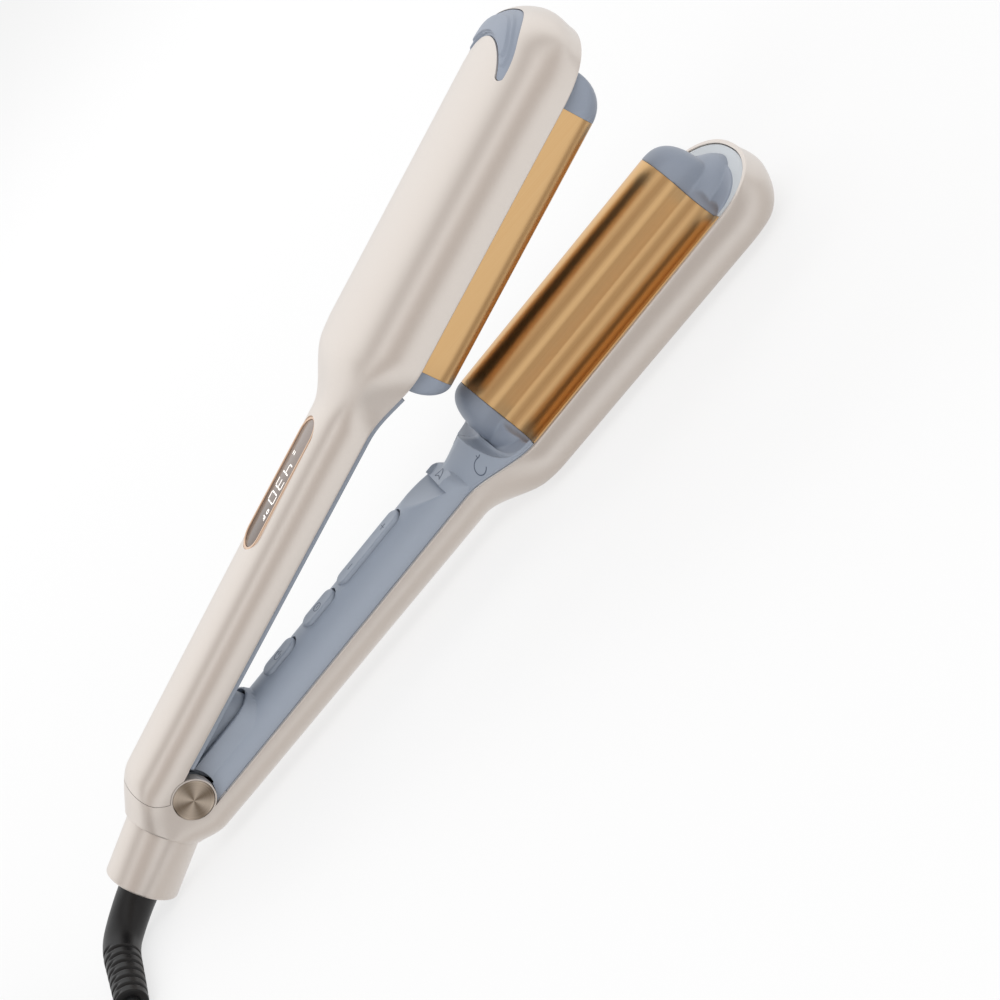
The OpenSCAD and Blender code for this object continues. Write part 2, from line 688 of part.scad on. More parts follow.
module upper_panel() {
  color(blue_grey) open_arm() difference() {
    mirror([0, 0, 1]) translate([0, 0, -zu]) loft([for (x = upper_panel_xs)
      let (w = inner_half(x) - panel_gap)
      [[x, -w, -2], [x, -w, upper_panel_h - 1], [x, -w + 2, upper_panel_h], [x, w - 2, upper_panel_h],
        [x, w, upper_panel_h - 1], [x, w, -2]]]);
    // room over the buttons, over the collar and for the tongue
    box([40, 170], [-8.5, 8.5], [zu - 10, zu - 0.6]);
    box([0, collar_x + collar_r + 2], [-collar_r - 0.6, collar_r + 0.6], [zu - 10, zu - 0.6]);
    box([0, tongue_end + 4.2], [-tongue_half - 0.1, tongue_half + 0.1], [-20, 20]);
  }
}
lobe_c = lobe_h - lobe_r;
flange_z = cavity_h;
outer_h = 5.5;
module lobe_2d(t) {
  translate([0, -lobe_c]) circle(r = lobe_r - t);
  translate([-(lobe_r - t), -lobe_c]) square([2 * (lobe_r - t), lobe_c + outer_h]);
  translate([-(lobe_r - t), -lobe_c]) square([lobe_r + 2 - t, lobe_c + flange_z]);
}
module lobe_barrel() {
  along_x([barrel_start, barrel_end]) translate([lobe_y, 0]) difference() {
    lobe_2d(0);
    difference() {
      lobe_2d(barrel_wall);
      translate([-lobe_r, lobe_seat]) square([2 * lobe_r, barrel_wall]);
    }
  }
}
lobe_seat = -2;
module barrel_far() {
  color(gold) open_arm() translate([0, 0, zu]) lobe_barrel();
}
module barrel_near() {
  color(gold) open_arm() translate([0, 0, zu]) mirror([0, 1, 0]) lobe_barrel();
}
module lobe_cap(len) {
  // grows along +X from the barrel's end face, with a tab inside the shell
  difference() {
    union() {
      intersection() {
        along_x([0, len]) translate([lobe_y, 0]) lobe_2d(0);
        translate([0, 0, 2]) scale([len, 1, lobe_h + 2]) rotate([-90, 0, 0]) cylinder(r = 1, h = 40);
        box([-1, 30], [0, 40], [-30, -0.1]);
      }
      box([0, len - 3.5], [lobe_y - 5, lobe_y + 3], [-1, 3]);
    }
    box([-1, 3], [lobe_y - lobe_r + barrel_wall, lobe_y + lobe_r - barrel_wall], [-lobe_c, 20]);
  }
}
module tip_cap_far() {
  color(blue_grey) open_arm() translate([barrel_end, 0, zu]) lobe_cap(tip_cap_len);
}
module tip_cap_near() {
  color(blue_grey) open_arm() translate([barrel_end, 0, zu]) mirror([0, 1, 0]) lobe_cap(tip_cap_len);
}
module root_cap_far() {
  color(blue_grey) open_arm() translate([barrel_start, 0, zu]) mirror([1, 0, 0]) lobe_cap(root_cap_len);
}
module root_cap_near() {
  color(blue_grey) open_arm() translate([barrel_start, 0, zu]) mirror([1, 0, 0]) mirror([0, 1, 0]) lobe_cap(root_cap_len);
}
// Dark roof of the cavity between the two barrels
liner_t = 1.4;
liner_half = lobe_y - lobe_r + barrel_wall;
module cavity_liner() {
  color(black) open_arm() translate([0, 0, zu])
    box([barrel_start - root_cap_len + 1, barrel_end + tip_cap_len - 3], [-liner_half, liner_half], [cavity_h, cavity_h + liner_t]);
}
module lobe_heater() {
  translate([0, lobe_y, lobe_seat + barrel_wall])
    box([barrel_start + heater_inset, barrel_end - heater_inset], [-5, 5], [0, heater_h]);
}
module heater_far() {
  color(amber) open_arm() translate([0, 0, zu]) lobe_heater();
}
module heater_near() {
  color(amber) open_arm() translate([0, 0, zu]) mirror([0, 1, 0]) lobe_heater();
}
upper_carrier_z = 14.6;
upper_post_xy = [[180, 8], [250, 8]];
module upper_carrier() {
  color(black) open_arm() translate([0, 0, zu]) difference() {
    union() {
      box([173, 261], [-20, 20], [upper_carrier_z, upper_carrier_z + 1.6]);
      both_sides() box([173, 261], [lobe_y - lobe_r + 3, lobe_y - lobe_r + 5], [cavity_h + 0.02, upper_carrier_z + eps]);
      for (p = upper_post_xy) both_sides() translate([p[0], p[1], upper_carrier_z + 1.6 - eps]) cylinder(r = post_r, h = 3.9);
    }
    for (p = upper_post_xy) both_sides() translate([p[0], p[1], upper_carrier_z - 1]) cylinder(r = screw_r + 0.05, h = 6);
  }
}
module upper_screws() {
  color(steel) open_arm() translate([0, 0, zu]) for (p = upper_post_xy) both_sides()
    translate([p[0], p[1], upper_carrier_z - 1.2]) {
      cylinder(r = 2.4, h = 1.2);
      cylinder(r = screw_r, h = 6);
    }
}

// ---- Display ----
module display_trim() {
  color(rose) open_arm() translate([0, 0, display_top]) difference() {
    translate([0, 0, -2.6]) linear_extrude(2.4) translate([display_x, 0]) slot_2d(display_len + 2.2, display_w + 2.2);
    translate([0, 0, -4]) linear_extrude(8) translate([display_x, 0]) slot_2d(display_len, display_w);
  }
}
module display_window() {
  color(smoke) open_arm() translate([display_x, 0, display_top - 2.6])
    linear_extrude(1.9) slot_2d(display_len - 0.1, display_w - 0.1);
}
module display_module() {
  color(black) open_arm() translate([display_x, 0, display_top - 2.6 - 2.2]) box([-18, 18], [-4.5, 4.5], [0, 2.1]);
}
module display_board() {
  color(board_green) open_arm() translate([display_x, 0, display_top - 2.6 - 2.2 - 1.3]) {
    box([-24, 24], [-7, 7], [0, 1.2]);
    box([-10, -2], [-5, 5], [-1.6, 0]);
  }
}

// ---- Strain relief, cord, coil and plug, in the standing frame ----
function to_stand(p) = [p[0] * cos(rest_tilt) - p[2] * sin(rest_tilt) - mid_x, p[1],
  p[0] * sin(rest_tilt) + p[2] * cos(rest_tilt) + pivot_height];
mouth_in = 1;
mouth = to_stand([0, 0, sleeve_rise] + (sleeve_end - mouth_in) * sleeve_dir);
outlet_angle = sleeve_angle + rest_tilt;
// Middle line of the strain relief, from the mouth of the sleeve
relief_route = [[0, 0, 0], [-3.8, 0, -1.4], [-9.2, -0.9, -3.1], [-15, -4, -4.5], [-19.6, -9, -5.2],
  [-22, -15.5, -5.6], [-23.2, -24, -5.9], [-24.4, -34, -6.1], [-25.7, -44, -6.3]];
relief_r = [7.3, 5.9];
rib_rise = 0.55;
rib_first = 0.32;
rib_count = 12;
// Route of the cord from the strain relief to the coil
run_route = [[-25.7, -44, -6.3], [-27.4, -53.9, -6.9], [-32, -62.4, -7.6], [-39.6, -69, -8.1], [-49.4, -72.4, -8.4],
  [-60, -73, -8.45], [-75, -73, -8.45], [-90, -73, -8.45], [-105, -73, -8.45], [-121.5, -73, -8.45]];
coil_lift = 0.8;
coil_pitch = cord_d + 0.5;
coil_mid_r = 41;
layer_turns = 2.25;
coil_out_r = coil_mid_r + layer_turns * coil_pitch / 2;
// The cord runs along under the coil's near side and turns up into it
run_end = run_route[len(run_route) - 1];
coil_centre = [mouth[0] + run_end[0], run_end[1] + coil_out_r, 0];
loop_steps = 24;
function layer_share(t) = let (k = floor(t / layer_turns), f = t / layer_turns - k) k % 2 == 0 ? f : 1 - f;
function climbs(t) = ease((t / layer_turns - floor(t / layer_turns + 0.5)) * layer_turns / 0.5 + 0.5)
  + floor(t / layer_turns + 0.5) - 1;
function coil_point(t) = let (r = coil_out_r - layer_turns * coil_pitch * layer_share(t), a = -90 - 360 * t)
  coil_centre + [r * cos(a), r * sin(a), coil_lift + cord_d / 2 + coil_pitch * max(0, climbs(t))];
// The free end rises, turns in and lies across the coil
coil_tail = [[0, 0, 0], [-12, 1.6, 0.8], [-25, 7.6, 2.6], [-33.5, 18.5, 4.6], [-37.6, 31, 6.4], [-38.4, 42, 7.1]];
coil_pts = concat([for (i = [0 : coil_turns * loop_steps - 1]) coil_point(i / loop_steps)],
  [for (q = smooth(coil_tail, 3)) coil_point(coil_turns) + q]);
// Spline through hand-set points
function spline(p, i, u) = let (a = p[max(i - 1, 0)], b = p[i], c = p[i + 1], d = p[min(i + 2, len(p) - 1)])
  0.5 * (2 * b + (c - a) * u + (2 * a - 5 * b + 4 * c - d) * u * u + (3 * b - a - 3 * c + d) * u * u * u);
function smooth(p, n) = concat([for (i = [0 : len(p) - 2], k = [0 : n - 1]) spline(p, i, k / n)], [p[len(p) - 1]]);
function unit(v) = v / norm(v);
function tangent(p, i) = unit(p[min(i + 1, len(p) - 1)] - p[max(i - 1, 0)]);
function path_len(p, i = 0) = i >= len(p) - 1 ? 0 : norm(p[i + 1] - p[i]) + path_len(p, i + 1);
function ring_at(c, t, r, n) = let (s = unit(cross(t, [0, 0, 1])), u = cross(s, t))
  [for (k = [0 : n - 1]) c + r * (cos(360 * k / n) * s + sin(360 * k / n) * u)];
module tube(p, r, n, first = [0, 0, 0], last = [0, 0, 0]) {
  m = len(p) - 1;
  loft([for (i = [0 : m]) ring_at(p[i],
    i == 0 && norm(first) > 0 ? first : i == m && norm(last) > 0 ? last : tangent(p, i), is_list(r) ? r[i] : r, n)]);
}
outlet_dir = [-cos(outlet_angle), 0, -sin(outlet_angle)];
relief_pts = [for (q = smooth(relief_route, 6)) mouth + q];
// Two rings on each rib and two in each groove
relief_rings = let (m = len(relief_pts) - 1) [for (i = [0 : m]) let (f = i / m, base = mix(relief_r[0], relief_r[1], f),
  g = (f - rib_first) * 48 / (1 - rib_first)) f < rib_first ? base : base - (floor(i) % 4 < 2 ? 0 : rib_rise)];
module strain_relief() {
  color(black) tube(relief_pts, relief_rings, 16, outlet_dir);
}
run_pts = [for (q = smooth(run_route, 2)) mouth + q];
module cord_run() {
  color(black) tube(concat(run_pts, []), cord_d / 2, 8, tangent(relief_pts, len(relief_pts) - 1), [-1, 0, 0]);
}
// Least gap of the coil to itself, measured on its points half a turn or more apart
coil_gap = min([for (i = [0 : len(coil_pts) - 13], j = [i + 12 : len(coil_pts) - 1]) norm(coil_pts[i] - coil_pts[j])])
  - cord_d;
echo(coil_gap = coil_gap);
module cord_coil() {
  color(black) tube(coil_pts, cord_d / 2, 6, [-1, 0, 0], [0, 1, 0]);
}
tie_t = 0.7;
tie_w = 12;
tie_angle = -25;
module cord_tie() {
  color(black) translate(coil_centre) rotate([0, 0, tie_angle]) difference() {
    translate([coil_mid_r, 0, 0]) box([-tie_half, tie_half], [-tie_w / 2, tie_w / 2], [0, tie_top]);
    translate([coil_mid_r, 0, 0]) box([-tie_half + tie_t, tie_half - tie_t], [-tie_w, tie_w], [tie_t, tie_top - tie_t]);
  }
}
tie_half = layer_turns * coil_pitch / 2 + cord_d / 2 + 0.6 + tie_t;
tie_top = coil_lift + cord_d + 3 * coil_pitch + 0.4 + tie_t;
// The plug lies on the coil, in line with the cord's end
plug_len = 34;
plug_w = 24;
plug_h = 14;
blade = [17, 6.35, 1.5];
blade_gap = 12.7;
coil_last = coil_pts[len(coil_pts) - 1];
plug_angle = 90;
module plug_body() {
  color(black) translate(coil_last) rotate([0, 0, plug_angle]) {
    rotate([0, 90, 0]) cylinder(r1 = cord_d / 2 + 0.8, r2 = cord_d / 2 + 2, h = 16);
    translate([16 - eps, 0, 0]) rotate([0, 90, 0]) linear_extrude(plug_len) plug_outline();
  }
}
module plug_outline() {
  for (s = [-1, 1]) translate([0, s * (plug_w - plug_h) / 2]) circle(d = plug_h);
  square([plug_h, plug_w - plug_h], center = true);
}
module plug_blades() {
  color(steel) translate(coil_last) rotate([0, 0, plug_angle]) translate([16 + plug_len - eps, 0, 0])
    for (s = [-1, 1]) translate([0, s * blade_gap / 2, 0]) box([0, blade[0]], [-blade[2] / 2, blade[2] / 2], [-blade[1] / 2, blade[1] / 2]);
}

place() lower_shell();
place() lower_panel();
place() tip_panel();
place() lower_barrel();
place() lower_tip_cap();
place() lower_root_cap();
place() lower_heater();
place() lower_carrier();
place() control_board();
place() tact_switches();
place() board_components();
place() hinge_bracket();
place() hinge_pin();
place() pivot_caps();
place() opening_spring();
place() cord_sleeve();
place() swivel_socket();
place() contact_rings();
place() lower_screws();
place() upper_shell();
place() thumb_grip();
place() upper_panel();
place() barrel_near();
place() barrel_far();
place() tip_cap_near();
place() tip_cap_far();
place() root_cap_near();
place() root_cap_far();
place() cavity_liner();
place() heater_near();
place() heater_far();
place() upper_carrier();
place() display_window();
place() display_trim();
place() display_module();
place() display_board();
place() hinge_knuckle();
place() upper_screws();
place() power_button();
place() mode_button();
place() temperature_rocker();
place() swivel_rotor();
strain_relief();
cord_run();
cord_coil();
cord_tie();
plug_body();
plug_blades();
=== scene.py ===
"""Hair waver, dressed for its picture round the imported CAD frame.

Sizes are millimetres in the arms' own frames: X runs from the hinge to the tip along an
arm's rim, Y is the hinge axis, Z points up. to_row() turns and moves points to the
standing frame and gives metres. Every new surface is a grid of points worked out with
numpy, and each docstring gives its formula in words.
"""
import logging
import math
from dataclasses import dataclass, field
from enum import Enum
from typing import Callable, Optional, Sequence, Union

import bmesh
import bpy
import numpy as np
from mathutils import Matrix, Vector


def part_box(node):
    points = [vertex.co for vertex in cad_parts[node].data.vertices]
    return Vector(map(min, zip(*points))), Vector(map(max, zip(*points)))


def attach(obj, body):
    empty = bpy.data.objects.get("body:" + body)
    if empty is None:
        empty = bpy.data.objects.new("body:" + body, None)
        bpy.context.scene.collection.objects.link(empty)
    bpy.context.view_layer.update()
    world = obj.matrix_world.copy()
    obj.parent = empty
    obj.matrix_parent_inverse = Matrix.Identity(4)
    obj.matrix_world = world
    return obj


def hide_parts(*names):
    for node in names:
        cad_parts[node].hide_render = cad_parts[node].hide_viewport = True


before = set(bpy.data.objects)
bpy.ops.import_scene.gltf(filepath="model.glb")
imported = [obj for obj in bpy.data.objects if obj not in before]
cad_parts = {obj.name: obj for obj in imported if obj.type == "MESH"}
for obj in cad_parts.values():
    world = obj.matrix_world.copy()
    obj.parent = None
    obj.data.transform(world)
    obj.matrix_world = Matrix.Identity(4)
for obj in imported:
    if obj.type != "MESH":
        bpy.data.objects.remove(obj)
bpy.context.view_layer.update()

LOG = logging.getLogger("hair_waver")
Array = np.ndarray
Obj = bpy.types.Object
Value = Union[float, Sequence[float], bpy.types.NodeSocket]

# ---- Shared places, from the same sizes as the CAD ----
OPEN_ANGLE = math.radians(11.7)
OUTLET_ANGLE = math.radians(18.7)
SLEEVE_R, SLEEVE_END, SLEEVE_RISE, HOUSING_END = 13.2, 40.3, 1.45, 17.3
RIM_LOW, RIM_UP = -7.6, 6.6
BARREL_START, BARREL_END = 168.5, 266.0
ARM_LENGTH = 290.5
# the lower head's depth at a station, and the flat that the table takes off it
HEAD_DEPTH, LEVEL_X, REST_CUT = 21.6, 180.0, 0.4
FOOT_HALF = 27.2
_low_x = -SLEEVE_END * math.cos(OUTLET_ANGLE) + SLEEVE_R * math.sin(OUTLET_ANGLE)
_low_z = SLEEVE_RISE - SLEEVE_END * math.sin(OUTLET_ANGLE) - SLEEVE_R * math.cos(OUTLET_ANGLE)
REST_TILT = math.atan((-RIM_LOW + HEAD_DEPTH - REST_CUT + _low_z) / (LEVEL_X - _low_x))
PIVOT_HEIGHT = -_low_x * math.sin(REST_TILT) - _low_z * math.cos(REST_TILT)
_tail_x = -SLEEVE_END * math.cos(OUTLET_ANGLE) - SLEEVE_R * math.sin(OUTLET_ANGLE)
_tail_z = SLEEVE_RISE - SLEEVE_END * math.sin(OUTLET_ANGLE) + SLEEVE_R * math.cos(OUTLET_ANGLE)
MID_X = (_tail_x * math.cos(REST_TILT) - _tail_z * math.sin(REST_TILT)
         + ARM_LENGTH * math.cos(REST_TILT) - RIM_LOW * math.sin(REST_TILT)) / 2


class Where(Enum):
    """The frame that a piece's points are given in."""

    STAND = None
    LOWER = 0.0
    UPPER = OPEN_ANGLE


class Body(Enum):
    """The CAD bodies that pieces ride on."""

    LOWER = "lower_arm"
    UPPER = "upper_arm"
    POWER = "power_button"
    MODE = "mode_button"
    ROCKER = "temperature_rocker"
    CORD = "cord"


# ---- Small shape functions ----
def ease(t: Array) -> Array:
    """Smooth step: three t squared less two t cubed, held to 0 and 1."""
    t = np.clip(t, 0, 1)
    return t * t * (3 - 2 * t)


def mix(a: Array, b: Array, t: Array) -> Array:
    """Straight blend from a to b."""
    return a + (b - a) * t


def spow(v: Array, e: float) -> Array:
    """Power that keeps the sign."""
    return np.sign(v) * np.abs(v) ** e


def stack(*parts: Array) -> Array:
    """Broadcasts coordinate arrays and puts them on a last axis."""
    return np.stack(np.broadcast_arrays(*parts), -1).astype(float)


def turned(p: Array, angle: float) -> Array:
    """Points turned about the hinge axis, from X towards Z.

    Args:
        p: points on the last axis.
        angle: radians.

    Returns:
        The turned points.
    """
    c, s = math.cos(angle), math.sin(angle)
    return stack(p[..., 0] * c - p[..., 2] * s, p[..., 1], p[..., 0] * s + p[..., 2] * c)


def to_row(p: Array, where: Where) -> Array:
    """Points of an arm's frame in the standing frame, in metres.

    Args:
        p: points in millimetres.
        where: the frame they are given in.

    Returns:
        The same points in metres, never below the table.
    """
    if where is not Where.STAND:
        p = turned(p, REST_TILT + where.value) + (-MID_X, 0, PIVOT_HEIGHT)
    p = p / 1000
    p[..., 2] = np.maximum(p[..., 2], 0)
    return p


def spline(points: Sequence[Sequence[float]], steps: int) -> Array:
    """Catmull-Rom curve through points: each span is the usual cubic in u from 0 to 1.

    Args:
        points: the points, in two or three coordinates.
        steps: curve points per span.

    Returns:
        The curve's points, with both ends.
    """
    p = np.array(points, float)
    q = np.vstack([p[:1], p, p[-1:]])
    a, b, c, d = (q[i:len(q) - 3 + i, None] for i in range(4))
    u = (np.arange(steps) / steps)[None, :, None]
    s = 0.5 * (2 * b + (c - a) * u + (2 * a - 5 * b + 4 * c - d) * u**2 + (3 * b - a - 3 * c + d) * u**3)
    return np.vstack([s.reshape(-1, p.shape[1]), p[-1:]])


def arc(cx: float, cz: float, r: float, start: float, end: float, n: int) -> Array:
    """Points on a circle's arc, in degrees from start to end."""
    a = np.radians(np.linspace(start, end, n))
    return stack(cx + r * np.cos(a), cz + r * np.sin(a))


def edge_drop(inside: Array, r: float) -> Array:
    """How far a quarter round of radius r lies below its top at a distance inside the edge."""
    return r * (1 - np.sqrt(1 - np.clip(1 - inside / r, 0, 1) ** 2))


# ---- Skins: points and faces ----
@dataclass
class Skin:
    """A mesh before Blender: points in millimetres and lists of corner numbers."""

    points: Array
    faces: list[list[int]]

    def __add__(self, other: "Skin") -> "Skin":
        """Both skins as one."""
        n = len(self.points)
        return Skin(np.vstack([self.points, other.points]),
                    self.faces + [[i + n for i in f] for f in other.faces])

    def mirrored(self) -> "Skin":
        """The same skin with Y reversed; the piece's normals are worked out later."""
        return Skin(self.points * (1, -1, 1), self.faces)


def sheet_of(p: Array, around: bool = False, loop: bool = False, caps: bool = False) -> Skin:
    """A grid of points joined by four-cornered faces.

    Args:
        p: points (rows, columns, 3).
        around: joins the last column to the first.
        loop: joins the last row to the first.
        caps: closes the first and the last row with one face each.

    Returns:
        The skin.
    """
    m, n = p.shape[:2]
    k = np.arange(m * n).reshape(m, n)
    if around:
        k = np.hstack([k, k[:, :1]])
    if loop:
        k = np.vstack([k, k[:1]])
    quads = np.stack([k[:-1, :-1], k[:-1, 1:], k[1:, 1:], k[1:, :-1]], -1).reshape(-1, 4).tolist()
    if caps:
        quads += [list(range(n))[::-1], list(range((m - 1) * n, m * n))]
    return Skin(p.reshape(-1, 3), quads)


def slab(top: Array, low: Array) -> Skin:
    """A closed slab between two grids of equal size, joined round their edges."""
    m, n = top.shape[:2]
    k = np.arange(m * n).reshape(m, n)
    rim = np.concatenate([k[0], k[1:, -1], k[-1, -2::-1], k[-2:0:-1, 0]])
    a, b = sheet_of(top), sheet_of(low)
    side = np.stack([rim, rim + m * n, np.roll(rim, -1) + m * n, np.roll(rim, -1)], -1).tolist()
    return Skin(np.vstack([a.points, b.points]), a.faces + [[i + m * n for i in f] for f in b.faces] + side)


def prism(outline: Array, y: tuple[float, float]) -> Skin:
    """An outline in X and Z carried along Y and closed at both ends."""
    rows = np.stack([stack(outline[:, 0], v, outline[:, 1]) for v in y])
    return sheet_of(rows, around=True, caps=True)


def column(outline: Array, low: float, high: float) -> Skin:
    """An outline in X and Y carried upwards and closed at both ends."""
    return sheet_of(np.stack([stack(outline[:, 0], outline[:, 1], z) for z in (low, high)]), around=True, caps=True)


def block(x: tuple[float, float], y: tuple[float, float], z: tuple[float, float]) -> Skin:
    """A box, used only to cut room for other pieces."""
    return prism(np.array([(x[0], z[0]), (x[1], z[0]), (x[1], z[1]), (x[0], z[1])]), y)


def slot_outline(cx: float, length: float, width: float, inset: float = 0, n: int = 24) -> Array:
    """A round-ended slot along X: two half circles joined by straight sides."""
    r, h = width / 2 - inset, (length - width) / 2
    return np.vstack([arc(cx + h, 0, r, -90, 90, n), arc(cx - h, 0, r, 90, 270, n)])


def terraces(outline: Callable[[float], Array], levels: Sequence[tuple[float, float]]) -> Skin:
    """A closed pad: the outline drawn in by each level's inset at that level's height.

    Args:
        outline: gives the outline in X and Y for an inset.
        levels: pairs of inset and height, from bottom to top.

    Returns:
        The skin, with a flat face at both ends.
    """
    rows = [stack(o[:, 0], o[:, 1], z) for o, z in ((outline(i), z) for i, z in levels)]
    return sheet_of(np.stack(rows), around=True, caps=True)


def rounded(low: float, high: float, r_low: float, r_high: float, n: int = 5) -> list[tuple[float, float]]:
    """Levels of a pad whose lower and upper edges are quarter rounds."""
    a = np.linspace(0, math.pi / 2, n)
    return (list(zip(r_low * (1 - np.sin(a)), low + r_low * (1 - np.cos(a))))
            + list(zip(r_high * (1 - np.cos(a)), high - r_high * (1 - np.sin(a)))))


def tube(path: Array, radius: Union[float, Array], n: int = 32) -> Skin:
    """A circle carried along a path: side is tangent cross Z, up is side cross tangent."""
    t = np.gradient(path, axis=0)
    t /= np.linalg.norm(t, axis=1, keepdims=True)
    s = np.cross(t, (0, 0, 1))
    s /= np.linalg.norm(s, axis=1, keepdims=True)
    u = np.cross(s, t)
    a = np.linspace(0, 2 * math.pi, n, endpoint=False)[None, :, None]
    r = np.asarray(radius, float)
    r = r[..., None] if r.ndim == 2 else np.broadcast_to(r, len(path))[:, None, None]
    return sheet_of(path[:, None] + r * (np.cos(a) * s[:, None] + np.sin(a) * u[:, None]), around=True, caps=True)


def turned_profile(profile: Array, place: Callable[[Array, Array, Array], Array], n: int = 96) -> Skin:
    """A profile of radius and distance turned full circle about an axis.

    Args:
        profile: closed list of (radius, distance).
        place: gives points for radius times cosine, radius times sine and distance.
        n: steps round the axis.

    Returns:
        The closed skin.
    """
    a = np.linspace(0, 2 * math.pi, n, endpoint=False)[:, None]
    p = place(profile[:, 0] * np.cos(a), profile[:, 0] * np.sin(a), profile[:, 1] + 0 * a)
    return sheet_of(p, around=True, loop=True)


# ---- Blender pieces ----
def linked(name: str, data: bpy.types.ID) -> Obj:
    """A new object with that data, in the scene's collection."""
    obj = bpy.data.objects.new(name, data)
    bpy.context.scene.collection.objects.link(obj)
    return obj


def new_object(name: str, skin: Skin, where: Where) -> Obj:
    """Makes a mesh object at the origin from a skin, doubles merged, faces outward."""
    mesh = bpy.data.meshes.new(name)
    mesh.from_pydata(to_row(skin.points, where).tolist(), [], skin.faces)
    bm = bmesh.new()
    bm.from_mesh(mesh)
    bmesh.ops.remove_doubles(bm, verts=bm.verts, dist=2e-6)
    bmesh.ops.dissolve_degenerate(bm, edges=bm.edges, dist=1e-7)
    bmesh.ops.recalc_face_normals(bm, faces=bm.faces)
    bm.to_mesh(mesh)
    bm.free()
    return linked(name, mesh)


def apply_modifiers(obj: Obj) -> None:
    """Puts the evaluated mesh in place of the object's own and removes its modifiers."""
    bpy.context.view_layer.update()
    done = bpy.data.meshes.new_from_object(obj.evaluated_get(bpy.context.evaluated_depsgraph_get()))
    obj.modifiers.clear()
    obj.data = done


class Cut(Enum):
    """What a cutter does."""

    AWAY = "DIFFERENCE"
    KEEP = "INTERSECT"


def carve(obj: Obj, skin: Skin, where: Where, how: Cut = Cut.AWAY) -> None:
    """Cuts an object with a skin and applies the result."""
    tool = new_object("cutter", skin, where)
    mod = obj.modifiers.new("carve", "BOOLEAN")
    mod.object, mod.operation, mod.solver = tool, how.value, "EXACT"
    apply_modifiers(obj)
    bpy.data.objects.remove(tool)


def merged(a: Obj, b: Obj) -> Obj:
    """Moves b's mesh into a."""
    bm = bmesh.new()
    bm.from_mesh(a.data)
    bm.from_mesh(b.data)
    bm.to_mesh(a.data)
    bm.free()
    bpy.data.objects.remove(b)
    return a


def finish_piece(obj: Obj, finish: "Finish", body: Body, nodes: Sequence[str] = (),
                 sharp: float = 35) -> Obj:
    """Dresses a piece and ties it to the frame.

    Args:
        obj: the piece.
        finish: its finish.
        body: the body it rides on.
        nodes: CAD nodes it stands for.
        sharp: edges that turn more than this many degrees stay crisp.

    Returns:
        The piece.
    """
    obj.data.materials.clear()
    obj.data.materials.append(finish.material())
    if obj.type == "MESH":
        obj.data.polygons.foreach_set("use_smooth", np.ones(len(obj.data.polygons), bool))
        obj.data.set_sharp_from_angle(angle=math.radians(sharp))
    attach(obj, body.value)
    if nodes:
        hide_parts(*nodes)
    LOG.info("piece %s rides on %s", obj.name, body.value)
    return obj


# ---- Finishes ----
def linear(code: str) -> tuple[float, float, float, float]:
    """A hex colour in sRGB as linear RGBA."""
    c = np.array([int(code[i:i + 2], 16) for i in (0, 2, 4)]) / 255
    c = np.where(c <= 0.04045, c / 12.92, ((c + 0.055) / 1.055) ** 2.4)
    return (float(c[0]), float(c[1]), float(c[2]), 1.0)


def add(tree: bpy.types.NodeTree, kind: str, inputs: Optional[dict[Union[str, int], Value]] = None,
        **settings: object) -> bpy.types.Node:
    """Adds a shader node.

    Args:
        tree: the node tree.
        kind: the node's type name.
        inputs: socket name or number to a constant or to another node's output.
        settings: the node's own properties.

    Returns:
        The node.
    """
    node = tree.nodes.new(kind)
    for key, value in settings.items():
        setattr(node, key, value)
    for key, value in (inputs or {}).items():
        if isinstance(value, bpy.types.NodeSocket):
            tree.links.new(value, node.inputs[key])
        else:
            node.inputs[key].default_value = value
    return node


def bare_tree(owner: Union[bpy.types.Material, bpy.types.World]) -> bpy.types.NodeTree:
    """Turns the owner's nodes on and clears them."""
    owner.use_nodes = True
    owner.node_tree.nodes.clear()
    return owner.node_tree


